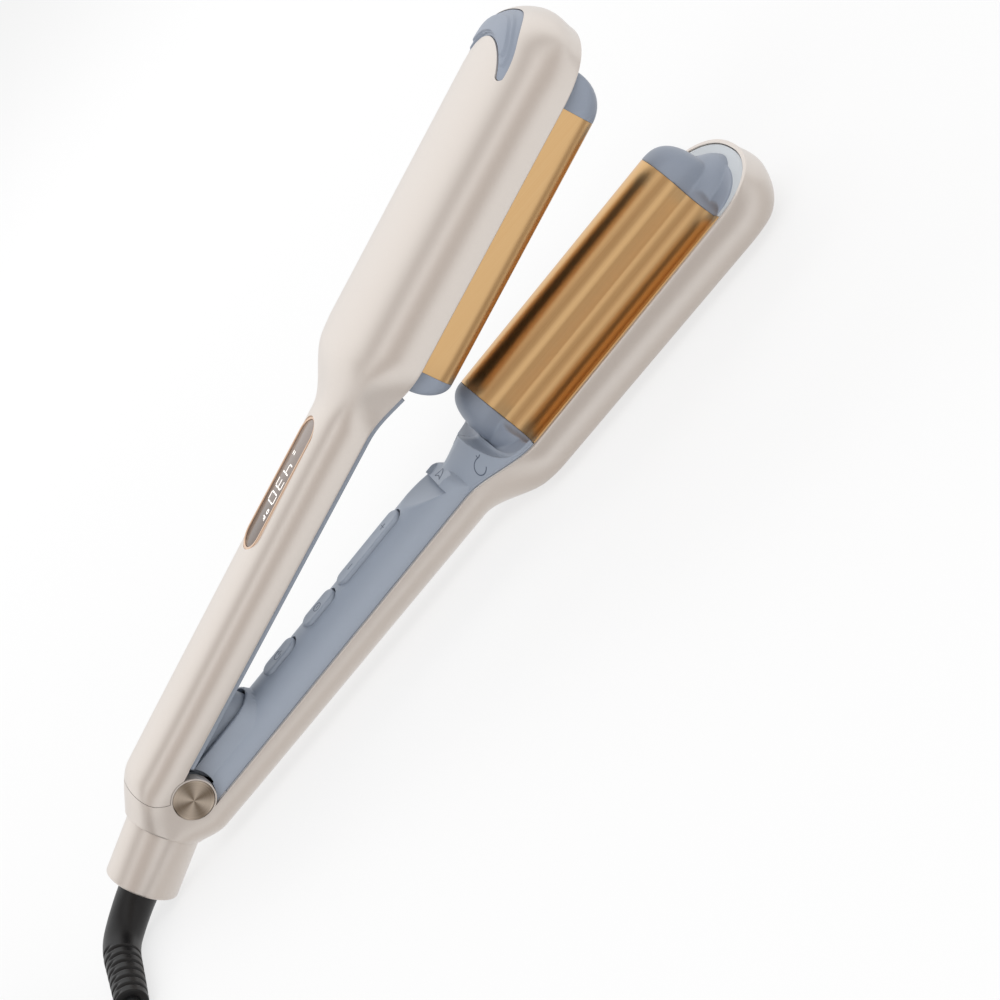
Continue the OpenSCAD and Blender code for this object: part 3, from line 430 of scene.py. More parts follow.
@dataclass(frozen=True)
class Finish:
    """A surface with a two-tone mottle, uneven gloss and a fine relief.

    grain is the mottle's size along X, Y and Z in millimetres, and relief its height.
    """

    name: str
    colour: str
    shade: str
    metallic: float = 0.0
    roughness: float = 0.4
    uneven: float = 0.05
    grain: tuple[float, float, float] = (0.3, 0.3, 0.3)
    relief: float = 0.004
    coat: float = 0.0
    coat_roughness: float = 0.1

    def material(self) -> bpy.types.Material:
        """The finish's material, made once."""
        found = bpy.data.materials.get(self.name)
        if found:
            return found
        made = bpy.data.materials.new(self.name)
        tree = bare_tree(made)
        shader = add(tree, "ShaderNodeBsdfPrincipled", {"Metallic": self.metallic,
                     "Coat Weight": self.coat, "Coat Roughness": self.coat_roughness})
        self.pattern(tree, shader)
        add(tree, "ShaderNodeOutputMaterial", {"Surface": shader.outputs[0]})
        made.diffuse_color = linear(self.colour)
        return made

    def noise(self, tree: bpy.types.NodeTree, grain: tuple[float, float, float], detail: float = 3) -> bpy.types.Node:
        """Noise on Object coordinates with the given grain in millimetres."""
        place = add(tree, "ShaderNodeTexCoord")
        scaled = add(tree, "ShaderNodeMapping", {"Vector": place.outputs["Object"],
                     "Scale": tuple(1000 / g for g in grain)})
        return add(tree, "ShaderNodeTexNoise", {"Vector": scaled.outputs[0], "Scale": 1.0, "Detail": detail})

    def tone(self, tree: bpy.types.NodeTree, share: bpy.types.NodeSocket, shader: bpy.types.Node) -> None:
        """Colours the shader from the shade at share 0 to the colour at share 1."""
        made = add(tree, "ShaderNodeMix", {0: share, 6: linear(self.shade), 7: linear(self.colour)}, data_type="RGBA")
        tree.links.new(made.outputs[2], shader.inputs["Base Color"])

    def gloss(self, tree: bpy.types.NodeTree, share: bpy.types.NodeSocket, shader: bpy.types.Node) -> None:
        """Spreads the shader's roughness to both sides of its middle value."""
        made = add(tree, "ShaderNodeMapRange", {"Value": share, "To Min": self.roughness - self.uneven,
                   "To Max": self.roughness + self.uneven})
        tree.links.new(made.outputs[0], shader.inputs["Roughness"])

    def raise_relief(self, tree: bpy.types.NodeTree, share: bpy.types.NodeSocket, high: float,
                     shader: bpy.types.Node) -> None:
        """Gives the shader a relief of that height in metres."""
        made = add(tree, "ShaderNodeBump", {"Height": share, "Distance": high, "Strength": 1.0})
        tree.links.new(made.outputs[0], shader.inputs["Normal"])

    def pattern(self, tree: bpy.types.NodeTree, shader: bpy.types.Node) -> None:
        """Mottles colour and gloss and raises the relief."""
        grain = self.noise(tree, self.grain).outputs["Fac"]
        self.tone(tree, grain, shader)
        self.gloss(tree, grain, shader)
        self.raise_relief(tree, grain, self.relief / 1000, shader)


@dataclass(frozen=True)
class TurnedDiscPaintedRays(Finish):
    """Aluminium turned on a lathe: fine rings, with painted highlight and painted shade as four bright and four dark
    sectors of colour round the axis.
    """

    centre: tuple[float, float, float] = (0, 0, 0)

    def pattern(self, tree: bpy.types.NodeTree, shader: bpy.types.Node) -> None:
        """Rings about the hinge axis, 0.25 mm apart, drawn coarser than real so that they show, under painted highlight
        and painted shade in sectors round the axis.
        """
        place = add(tree, "ShaderNodeTexCoord")
        local = add(tree, "ShaderNodeVectorMath", {0: place.outputs["Object"], 1: self.centre}, operation="SUBTRACT")
        flat = add(tree, "ShaderNodeVectorMath", {0: local.outputs[0], 1: (1, 0, 1)}, operation="MULTIPLY")
        radius = add(tree, "ShaderNodeVectorMath", {0: flat.outputs[0]}, operation="LENGTH")
        rings = add(tree, "ShaderNodeTexNoise", {"W": radius.outputs["Value"], "Scale": 4000.0, "Detail": 2.0},
                    noise_dimensions="1D")
        split = add(tree, "ShaderNodeSeparateXYZ", {0: flat.outputs[0]})
        # painted highlight and painted shade: the colour swings from dark to light four times round the hinge axis
        turn = add(tree, "ShaderNodeMath", {0: split.outputs[2], 1: split.outputs[0]}, operation="ARCTAN2")
        painted_ray_angle = add(tree, "ShaderNodeMath", {0: turn.outputs[0], 1: 4.0}, operation="MULTIPLY")
        wave = add(tree, "ShaderNodeMath", {0: painted_ray_angle.outputs[0]}, operation="SINE")
        part = add(tree, "ShaderNodeMapRange", {"Value": wave.outputs[0], "From Min": -1.0, "From Max": 1.0})
        both = add(tree, "ShaderNodeMix", {0: 0.35, 2: part.outputs[0], 3: rings.outputs["Fac"]}, data_type="FLOAT")
        shader.inputs["Roughness"].default_value = self.roughness
        self.tone(tree, both.outputs[0], shader)
        self.raise_relief(tree, rings.outputs["Fac"], 0.00002, shader)


@dataclass(frozen=True)
class SmokedPaintedShade(Finish):
    """Acrylic tinted brown, moulded and softly glossy, with painted shade that darkens it towards the hinge end."""

    # where the painted shade runs along X, from its dark end to its light end
    span: tuple[float, float] = (0, 1)

    def pattern(self, tree: bpy.types.NodeTree, shader: bpy.types.Node) -> None:
        """Painted shade that runs along X over the window, darker towards the hinge end, under a faint haze."""
        place = add(tree, "ShaderNodeTexCoord")
        split = add(tree, "ShaderNodeSeparateXYZ", {0: place.outputs["Object"]})
        run = add(tree, "ShaderNodeMapRange", {"Value": split.outputs[0], "From Min": self.span[0],
                  "From Max": self.span[1]}, interpolation_type="SMOOTHSTEP")
        self.tone(tree, run.outputs[0], shader)
        self.gloss(tree, self.noise(tree, self.grain).outputs["Fac"], shader)


@dataclass(frozen=True)
class Lit(Finish):
    """Lit segments behind the window: plain white glow."""

    def pattern(self, tree: bpy.types.NodeTree, shader: bpy.types.Node) -> None:
        """White that glows a little, mottled by the diffuser's grain."""
        Finish.pattern(self, tree, shader)
        shader.inputs["Emission Color"].default_value = linear(self.colour)
        shader.inputs["Emission Strength"].default_value = 0.55


@dataclass(frozen=True)
class Laminate(Finish):
    """Glass-filled epoxy board under green solder mask: traces show as a grid of lines."""

    def pattern(self, tree: bpy.types.NodeTree, shader: bpy.types.Node) -> None:
        """Lines 1.3 mm apart, the pitch of the board's tracks."""
        place = add(tree, "ShaderNodeTexCoord")
        bricks = add(tree, "ShaderNodeTexBrick", {"Vector": place.outputs["Object"], "Color1": linear(self.colour),
                     "Color2": linear(self.colour), "Mortar": linear(self.shade), "Scale": 1.0,
                     "Mortar Size": 0.0002, "Brick Width": 0.0047, "Row Height": 0.0013})
        shader.inputs["Roughness"].default_value = self.roughness
        tree.links.new(bricks.outputs["Color"], shader.inputs["Base Color"])


# ABS sprayed with pearl paint: satin, metallic flakes too fine to see one by one, so drawn at 0.14 mm.
CHAMPAGNE = Finish("abs_champagne_metallic_paint", "e6ded7", "ddd4cc", metallic=0.72, roughness=0.33,
                   uneven=0.03, grain=(0.14, 0.14, 0.14), relief=0.0006, coat=0.25, coat_roughness=0.28)
# ABS moulded in a spark-eroded tool: matt with a fine even grain.
BLUE_GREY = Finish("abs_moulded_blue_grey", "9ba3af", "959daa", roughness=0.44, uneven=0.04,
                   grain=(0.25, 0.25, 0.25), relief=0.003)
# The same plastic in a pale grey.
PALE_GREY = Finish("abs_moulded_pale_grey", "c3c8cc", "bdc2c7", roughness=0.42, uneven=0.04,
                   grain=(0.25, 0.25, 0.25), relief=0.003)
# Heat-proof polyamide of the barrels' end caps, a shade darker.
CAP_GREY = Finish("polyamide_moulded_slate_grey", "8f97a5", "88909e", roughness=0.4, uneven=0.04,
                  grain=(0.3, 0.3, 0.3), relief=0.004)
# Extruded aluminium with a gold ceramic coating: satin, with faint draw lines along X.
GOLD = Finish("aluminium_gold_ceramic_coating", "ecc590", "e3b780", metallic=1.0, roughness=0.32, uneven=0.035,
              grain=(60.0, 0.35, 0.35), relief=0.0005)
# Polished rose gold plating on the display's frame.
ROSE = Finish("zinc_rose_gold_plated", "ecd0ba", "e0bda2", metallic=1.0, roughness=0.2, uneven=0.05,
              grain=(3.0, 0.2, 0.2), relief=0.0005)
# Flexible PVC: black, satin, slightly orange-peeled by its extrusion.
PVC = Finish("pvc_black_cord", "111113", "0b0b0d", roughness=0.4, uneven=0.08, grain=(0.8, 0.8, 0.8), relief=0.008)
# Woven nylon hook-and-loop strap.
STRAP = Finish("nylon_hook_and_loop_black", "1b1b1d", "0c0c0d", roughness=0.85, uneven=0.1,
               grain=(0.35, 0.35, 0.35), relief=0.12)
# Moulded polyamide: black and dull, out of sight but for the roof between the barrels.
BLACK = Finish("polyamide_moulded_black", "232326", "1b1b1d", roughness=0.5, uneven=0.06, relief=0.005)
# Steel wire, sheet and pins, drawn bright: fine lines along X and Z.
STEEL = Finish("steel_bright", "c9cacc", "b2b3b6", metallic=1.0, roughness=0.28, uneven=0.08,
               grain=(0.2, 1.5, 0.2), relief=0.001)
# Stamped brass of the contact rings: warm and bright.
BRASS = Finish("brass_contact", "d7b36a", "c29a4f", metallic=1.0, roughness=0.3, uneven=0.08,
               grain=(0.5, 0.5, 0.5), relief=0.001)
# Sintered alumina of the heaters: cream, matt and slightly pitted.
CERAMIC = Finish("alumina_ceramic", "e9e4d8", "ded7c8", roughness=0.6, uneven=0.08,
                 grain=(0.6, 0.6, 0.6), relief=0.01)
# Epoxy bodies of the board's parts: nearly black and matt.
CHIPS = Finish("epoxy_moulded_parts", "28282b", "1f1f22", roughness=0.55, uneven=0.08, relief=0.006)
# Pad-printed ink, a shade darker than the covers.
INK = Finish("pad_print_slate", "5c6472", "565e6c", roughness=0.5, uneven=0.05, grain=(0.4, 0.4, 0.4), relief=0.002)
DIGITS = Lit("display_segments_white", "fbf7f2", "ece6df", roughness=0.4)
BOARD = Laminate("epoxy_board_green", "1f6a45", "2f8a5c", roughness=0.45)


# ---- Forms of the two arms ----
@dataclass
class ArmForm:
    """Half a superellipse hung from a flat rim; it widens from handle to head and has a round nose."""

    upper: bool
    length: float = ARM_LENGTH
    handle_half: float = 15.8
    head_half: float = 31.0
    shoulder: tuple[float, float] = (138.0, 169.0)
    deep_end: float = 161.0
    nose_len: float = 25.0
    nose_depth_len: float = 15.0
    nose_n: float = 2.25
    section_n: float = 2.6
    nose_lean: float = 2.4
    wall: float = 1.6
    # radii of the rim's outer and inner edge
    rim_round: tuple[float, float] = (0.38, 0.3)

    @property
    def rim(self) -> float:
        """Height of the rim."""
        return RIM_UP if self.upper else RIM_LOW

    def share(self, x: Array, length: float) -> Array:
        """How far x lies into the last stretch of that length, from 0 to 1."""
        return np.clip((x - self.length + length) / length, 0, 1)

    def round_off(self, x: Array, length: float) -> Array:
        """Superellipse fall from 1 to 0 over the last stretch."""
        return (1 - self.share(x, length) ** self.nose_n) ** (1 / self.nose_n)

    def half_width(self, x: Array) -> Array:
        """Half the width: smooth step from handle to head, a little slimmer at the tail."""
        a, b = self.shoulder
        return mix(self.handle_half, self.head_half, ease((x - a) / (b - a))) - 0.5 * ease((30 - x) / 60)

    def depth(self, x: Array) -> Array:
        """Depth from the rim: smooth step from handle to head, the lower head parallel to the table."""
        t = ease((x - self.shoulder[0]) / (self.deep_end - self.shoulder[0]))
        if self.upper:
            return mix(14.4 + (x - 60) * 0.01, 22.6, t)
        return mix(12.8 + (x - 60) * 0.012, HEAD_DEPTH + (x - LEVEL_X) * math.tan(REST_TILT), t)

    def point(self, x: Array, a: Array, inset: Array = 0.0, edge: Array = 0.0) -> Array:
        """Points of the form: Y is width times cos a and Z is depth times sin a, both to the power 2/2.6.

        Args:
            x: station along the arm.
            a: angle round the section, 0 at the far rim and pi at the near rim.
            inset: how far inside the outer face.
            edge: how far from the rim the curve starts.

        Returns:
            Points in the arm's frame.
        """
        s, e = self.share(x, self.nose_len), 2 / self.section_n
        w = (self.half_width(x) - inset) * self.round_off(x, self.nose_len)
        d = np.maximum((self.depth(x) - inset) * self.round_off(x, self.nose_depth_len) - edge, 0)
        z = edge + d * np.abs(np.sin(a)) ** e
        lean = self.nose_lean * s**2 * ease(z / 10)
        return stack(x - inset * s + lean, w * spow(np.cos(a), e), self.rim + (z if self.upper else -z))

    def angles(self, n: int) -> Array:
        """Angles that space points evenly round a section."""
        a = np.linspace(0, math.pi, 2001)
        e = 2 / self.section_n
        y, z = 22 * spow(np.cos(a), e), 18 * np.sin(a) ** e
        run = np.concatenate([[0], np.cumsum(np.hypot(np.diff(y), np.diff(z)))])
        return np.interp(np.linspace(0, run[-1], n), run, a)

    def stations(self, start: float) -> Array:
        """Stations along the arm, close together on the shoulder and towards the nose's end."""
        t = np.radians(90 * (1 - (1 - np.linspace(0, 1, 46)[1:]) ** 1.7))
        nose = self.length - self.nose_len
        return np.concatenate([np.linspace(start, 130, 26), np.linspace(131, 172, 42), np.linspace(175, nose, 24),
                               nose + self.nose_len * np.sin(t) ** (2 / self.nose_n)])

    def trough(self, start: float) -> Skin:
        """The walled shell as one strip: outer face, rounded rim, inner face, rounded rim."""
        a, n = self.angles(73), 5
        q = np.linspace(0, math.pi / 2, n)
        r, s = self.rim_round
        inset = np.concatenate([r * (1 - np.cos(q)), self.wall - s + s * np.sin(q)])
        edge = np.concatenate([r * (1 - np.sin(q)), s * (1 - np.cos(q))])
        ring = np.concatenate([
            stack(a, 0, r), stack(math.pi, inset, edge)[1:-1],
            stack(a[::-1], self.wall, s), stack(0, inset, edge)[-2:0:-1]])
        x = self.stations(start)[:, None]
        return sheet_of(self.point(x, ring[None, :, 0], ring[None, :, 1], ring[None, :, 2]), around=True, caps=True)

    def plan(self, inset: float, start: float) -> Array:
        """Outline in X and Y of the form drawn in by inset, from the far side round the nose to the near."""
        x = self.stations(start)
        x = x[x >= start]
        p = self.point(x[:, None], np.array([[0.0, math.pi]]), inset)
        return np.vstack([p[:, 0, :2], p[::-1, 1, :2]])


LOWER_FORM, UPPER_FORM = ArmForm(False), ArmForm(True)


@dataclass
class Shells:
    """Both painted shells, with the housing round the hinge split along one curved line."""

    cut_x: float = 9.0
    ear_r: float = 8.0
    ear_in: float = 11.2
    cap_seat_r: float = 7.45
    housing_r: float = SLEEVE_R + 1.5
    corner_up: float = -6.5
    corner_low: float = -4.5
    split: tuple = ((-5.3, 5.0), (-9.9, 9.3), (-11.8, 14.5), (-12.4, 24.0))
    split_gap: tuple[float, float] = (0.17, 0.1)
    end_round: float = 0.8

    def tail(self) -> Skin:
        """The tail as one closed loft.

        Each ring is the upper arm's section, straight sides and the lower arm's section. Along the
        tail every ring point follows a quadratic curve from the arm's section through a corner
        ring to a circle round the cord sleeve.
        """
        a = LOWER_FORM.angles(61)
        k = 9
        f = np.linspace(0, 1, k + 2)[1:-1, None]

        def ring(x_up: float, x_low: float) -> Array:
            """Ring of both arms' sections at those stations."""
            up = turned(UPPER_FORM.point(x_up, a), OPEN_ANGLE)
            low = LOWER_FORM.point(x_low, a)[::-1]
            return np.vstack([up, mix(up[-1], low[0], f), low, mix(low[-1], up[0], f)])

        share = np.linspace(0, 1, 61)
        first = math.radians(14)
        g = np.concatenate([mix(first, math.pi - first, share), mix(math.pi - first, math.pi + first, f[:, 0]),
                            mix(math.pi + first, 2 * math.pi - first, share), mix(-first, first, f[:, 0])])

        def circle(far: float, r: float) -> Array:
            """Ring round the sleeve's axis, that far from the hinge."""
            y, up = r * np.cos(g), r * np.sin(g)
            c, s = math.cos(OUTLET_ANGLE), math.sin(OUTLET_ANGLE)
            return stack(-far * c - up * s, y, SLEEVE_RISE - far * s + up * c)

        start, corner = ring(0, 0), ring(self.corner_up, self.corner_low)
        r, last = self.end_round, HOUSING_END - self.end_round
        end = circle(last, self.housing_r)
        b, d = mix(corner, start, 0.6), mix(corner, end, 0.55)
        t = np.linspace(0, 1, 13)[:, None, None]
        bend = (1 - t) ** 2 * b + 2 * t * (1 - t) * corner + t**2 * d
        rows = [ring(v, v) for v in (self.cut_x, 6, 3, 0)] + list(bend)
        rows += [mix(d, end, v) for v in (0.25, 0.5, 0.75, 0.93)] + [end]
        rows += [circle(last + r * math.sin(v), self.housing_r - r * (1 - math.cos(v))) for v in (0.5, 1.0, 1.5)]
        return sheet_of(np.stack(rows), around=True, caps=True)

    def rod(self, r: float, y: tuple[float, float]) -> Skin:
        """A round cutter along the hinge axis."""
        return prism(arc(0, 0, r, 0, 357, 120), y)

    def both(self, r: float, y: tuple[float, float]) -> Skin:
        """Two round cutters, one on each side."""
        return self.rod(r, y) + self.rod(r, (-y[1], -y[0]))

    def lower(self) -> Obj:
        """Lower shell: the walled trough and, of the tail, all that lies behind the split line or in the ears."""
        obj = new_object("lower_shell_painted", LOWER_FORM.trough(self.cut_x), Where.LOWER)
        tail = new_object("tail", self.tail(), Where.LOWER)
        line = spline(self.split, 8)
        line = line[np.hypot(line[:, 0], line[:, 1]) > self.ear_r + 0.2]
        start = math.degrees(math.atan2(RIM_LOW, math.sqrt(self.ear_r**2 - RIM_LOW**2)))
        outline = np.vstack([[(20, -60), (20, RIM_LOW)], arc(0, 0, self.ear_r, start, 136.7, 60), line,
                             [(-13, 60), (-80, 60), (-80, -60)]])
        carve(tail, prism(outline, (-60, 60)), Where.LOWER, Cut.KEEP)
        carve(tail, block((-2, 30), (-self.ear_in, self.ear_in), (-14.6, 30)), Where.LOWER)
        carve(tail, self.rod(self.ear_r + 0.15, (-self.ear_in, self.ear_in)), Where.LOWER)
        carve(tail, self.both(self.cap_seat_r, (14.25, 30)), Where.LOWER)
        return merged(obj, tail)

    def upper(self, slots: Sequence[Skin]) -> Obj:
        """Upper shell: the walled trough with the openings in it, and the tail in front of the split line."""
        obj = new_object("upper_shell_painted", UPPER_FORM.trough(self.cut_x), Where.UPPER)
        for skin in slots:
            carve(obj, skin, Where.UPPER)
        tail = new_object("tail", self.tail(), Where.LOWER)
        r = self.ear_r + self.split_gap[0]
        line = spline(self.split, 8) + self.split_gap
        line = line[np.hypot(line[:, 0], line[:, 1]) > r + 0.2]
        rim_x = math.sqrt(r**2 - RIM_UP**2)
        end = math.degrees(math.atan2(RIM_UP, rim_x) + OPEN_ANGLE)
        far = turned(np.array([[60.0, 0, RIM_UP]]), OPEN_ANGLE)[:, [0, 2]]
        outline = np.vstack([line[::-1], arc(0, 0, r, 136.2, end, 50), far, [(60, 80), (-12.2, 80)]])
        carve(tail, prism(outline, (-60, 60)), Where.LOWER, Cut.KEEP)
        carve(tail, block((-7.2, 30), (-self.ear_in, self.ear_in), (-20, RIM_UP + 8.9)), Where.UPPER)
        return merged(obj, tail)

    def build(self, slots: Sequence[Skin]) -> None:
        """Makes both shells and dresses them."""
        finish_piece(self.lower(), CHAMPAGNE, Body.LOWER, ["lower_shell"])
        finish_piece(self.upper(slots), CHAMPAGNE, Body.UPPER, ["upper_shell"])


# ---- Covers ----
@dataclass
class Covers:
    """The blue-grey covers of both handles, the pale cover at the tip and the dark roof between the barrels."""

    start: float = 3.0
    end: float = 168.3
    gap: float = 0.15
    wall: float = 2.0
    high: float = 9.9
    facet: tuple[float, float] = (122.5, 136.0)
    facet_drop: float = 6.2
    neck: tuple[float, float] = (6.4, 10.8)
    crown_half: float = 14.0
    flange: float = 0.5
    collar_x: float = 30.0
    collar_r: float = 9.5
    collar_rise: float = 2.2
    well_r: float = 7.9
    # room for the barrel's cap, for the shell's ears and for the knuckle
    foot_room: tuple[float, float] = (10.9, 27.0)
    ear_room: float = 8.3
    knuckle_room: tuple[float, float] = (8.9, 11.4)
    edge_r: float = 0.35
    tray_r: float = 1.3
    tray_depth: float = 2.4
    tip_thick: float = 1.6
    roof_high: float = 12.0
    roof_thick: float = 1.2

    def height(self, x: Array, y: Array) -> Array:
        """Height of the lower handle's cover above the rim.

        The handle's crown is one less the square of y over its half width, to the power 0.72. A flat
        facet dips out of it and ends in a step up to a shelf, beside which the crown's edges run on as
        rounded fingers. The neck rises towards the barrel, falls off to both sides and sinks into a
        hollow round the barrel's cap. The collar is a smooth step round the tongue.
        """
        w = LOWER_FORM.half_width(x) - LOWER_FORM.wall - self.gap
        (a, b), side = self.facet, np.abs(y)
        crown = self.high * np.maximum(1 - (side / np.minimum(w, self.crown_half)) ** 2, 0) ** 0.72
        # the facet's floor is hollowed a little so that its edges read as a crease
        dip = self.high - (x - a) * self.facet_drop / (b - a) + 0.012 * side**2
        fingers = crown * np.sqrt(1 - np.clip((x - 138.5) / 5, 0, 1) ** 2)
        shelf = self.neck[0] + 4 * ease((side - 7) / 2)
        neck = mix(self.neck[0], self.neck[1], ease((x - b) / (165 - b))) * np.maximum(1 - (side / w) ** 1.5, 0)
        z = np.where(x > b, np.maximum(neck, np.minimum(fingers, shelf)),
                     np.where(x > a, np.minimum(crown, dip), crown))
        gone = np.maximum(BARREL_START - x, 0) / Barrels.root_foot
        away = ((gone**3 + (side / FOOT_HALF) ** 3) ** (1 / 3) - 1) * Barrels.root_foot
        brim = 1.0 + 3.2 * np.exp(-((side / 6) ** 2))
        z = np.minimum(z, brim + (12 - brim) * ease(away / 7))
        off = np.where(x < self.collar_x, side, np.hypot(x - self.collar_x, y))
        ring = (self.high + self.collar_rise) * (1 - ease((off - self.collar_r + 0.5) / 2.6))
        return np.maximum(np.maximum(z, ring), self.flange)

    def handle(self) -> Obj:
        """The lower handle's cover, with button openings and the tongue's well."""
        a, b = self.facet
        x = np.concatenate([np.linspace(self.start, 45, 61), np.linspace(46, a, 50), np.linspace(a + 0.05, b, 18),
                            [b + 0.02], np.linspace(b + 0.5, self.end, 72)])[:, None]
        w = LOWER_FORM.half_width(x) - LOWER_FORM.wall - self.gap
        u = np.sin(np.linspace(-1, 1, 97) * math.pi / 2)[None]
        z = self.height(x, u * w)
        top = stack(x, u * w, RIM_LOW + z - edge_drop(w - np.abs(u * w), self.edge_r))
        low = stack(x, u * (w - 0.3), RIM_LOW + z - self.wall)
        obj = new_object("handle_cover_lower", slab(top, low), Where.LOWER)
        t = np.linspace(0, 2 * math.pi, 96, endpoint=False)
        long, half = self.foot_room
        foot = stack(BARREL_START + long * spow(np.cos(t), 2 / 3), half * spow(np.sin(t), 2 / 3))
        r, wide = self.knuckle_room
        cuts = [column(foot, -60, 60), prism(arc(0, 0, self.ear_room, 0, 357, 90), (-30, 30)),
                column(arc(self.collar_x, 0, self.well_r, 0, 357, 120), -60, 60),
                block((-20, self.collar_x), (-self.well_r, self.well_r), (-60, 60)),
                prism(arc(0, 0, r, 0, 354, 60), (-wide, wide))]
        cuts += [column(slot_outline(c, n + 0.7, Controls.width + 0.7), -60, 60) for c, n in Controls.places()]
        for skin in cuts:
            carve(obj, skin, Where.LOWER)
        return obj

    def handle_inside(self) -> Obj:
        """The upper handle's cover: a shallow tray with rounded long edges, relieved over the buttons."""
        x = np.concatenate([np.linspace(9.5, 130, 30), np.linspace(132, 157, 26)])[:, None]
        w = UPPER_FORM.half_width(x) - UPPER_FORM.wall - self.gap
        q = np.linspace(0, math.pi / 2, 7)
        r, deep = self.tray_r, self.tray_depth
        side = np.concatenate([[0.0], r * (1 - np.cos(q)), [4.0, 8.0]])
        drop = np.concatenate([[-1.2], deep - r * (1 - np.sin(q)), [deep, deep]])
        y = np.concatenate([-w + side, (w - side)[:, ::-1]], 1)
        z = RIM_UP - np.concatenate([drop, drop[::-1]])[None]
        skin = slab(stack(x, y, z), stack(x, y * 0.97, RIM_UP + 1.6 + 0 * z))
        obj = new_object("handle_cover_upper", skin, Where.UPPER)
        for skin in (block((40, 170), (-8.5, 8.5), (RIM_UP - 10, RIM_UP - 0.6)),
                     block((0, self.collar_x + self.collar_r + 2), (-10.1, 10.1), (RIM_UP - 10, RIM_UP - 0.6)),
                     block((0, 41.3), (-7.2, 7.2), (-20, 20))):
            carve(obj, skin, Where.UPPER)
        return obj

    def tip(self) -> Obj:
        """Pale cover at the tip: a flat sheet between the cap's outline and the shell's inner outline."""
        out = LOWER_FORM.plan(LOWER_FORM.wall + 0.25, BARREL_END + 0.2) - (BARREL_END, 0)
        g = np.arctan2(out[:, 1], out[:, 0])
        c, s = np.cos(g), np.sin(g)
        near = np.maximum((np.abs(c / 17.3) ** 2.2 + np.abs(s / 27.0) ** 2.2) ** (-1 / 2.2),
                          ((c / 19.3) ** 2 + (s / 16.8) ** 2) ** -0.5)
        near = np.minimum(near, np.hypot(out[:, 0], out[:, 1]))[:, None] * stack(c, s)
        v = np.linspace(0, 1, 7)[:, None, None]
        p = mix(near[None], out[None], v)
        soft = 0.3 * (1 - np.sqrt(1 - np.clip(np.abs(v[..., 0]) * 6 - 5, 0, 1) ** 2))
        top = stack(p[..., 0] + BARREL_END, p[..., 1], RIM_LOW - 0.3 - soft)
        return new_object("tip_cover_pale", slab(top, top - (0, 0, self.tip_thick)), Where.LOWER)

    def roof(self) -> Obj:
        """Dark roof over the upper head: the shell's inner outline, 12 mm above the rim, one sheet thick."""
        out = UPPER_FORM.plan(UPPER_FORM.wall + 2.0, 158.0)
        v = np.linspace(0.02, 1, 5)[:, None, None]
        hub = stack(np.clip(out[:, 0], 170, 262), 0 * out[:, 0])[None]
        p = mix(hub, out[None], v)
        top = stack(p[..., 0], p[..., 1], RIM_UP + self.roof_high)
        return new_object("cavity_roof_dark", slab(top, top + (0, 0, self.roof_thick)), Where.UPPER)

    def build(self) -> None:
        """Makes and dresses the covers."""
        finish_piece(self.handle(), BLUE_GREY, Body.LOWER, ["lower_panel"], sharp=28)
        finish_piece(self.handle_inside(), BLUE_GREY, Body.UPPER, ["upper_panel"])
        finish_piece(self.tip(), PALE_GREY, Body.LOWER, ["tip_panel"])
        finish_piece(self.roof(), BLACK, Body.UPPER, ["cavity_liner"])


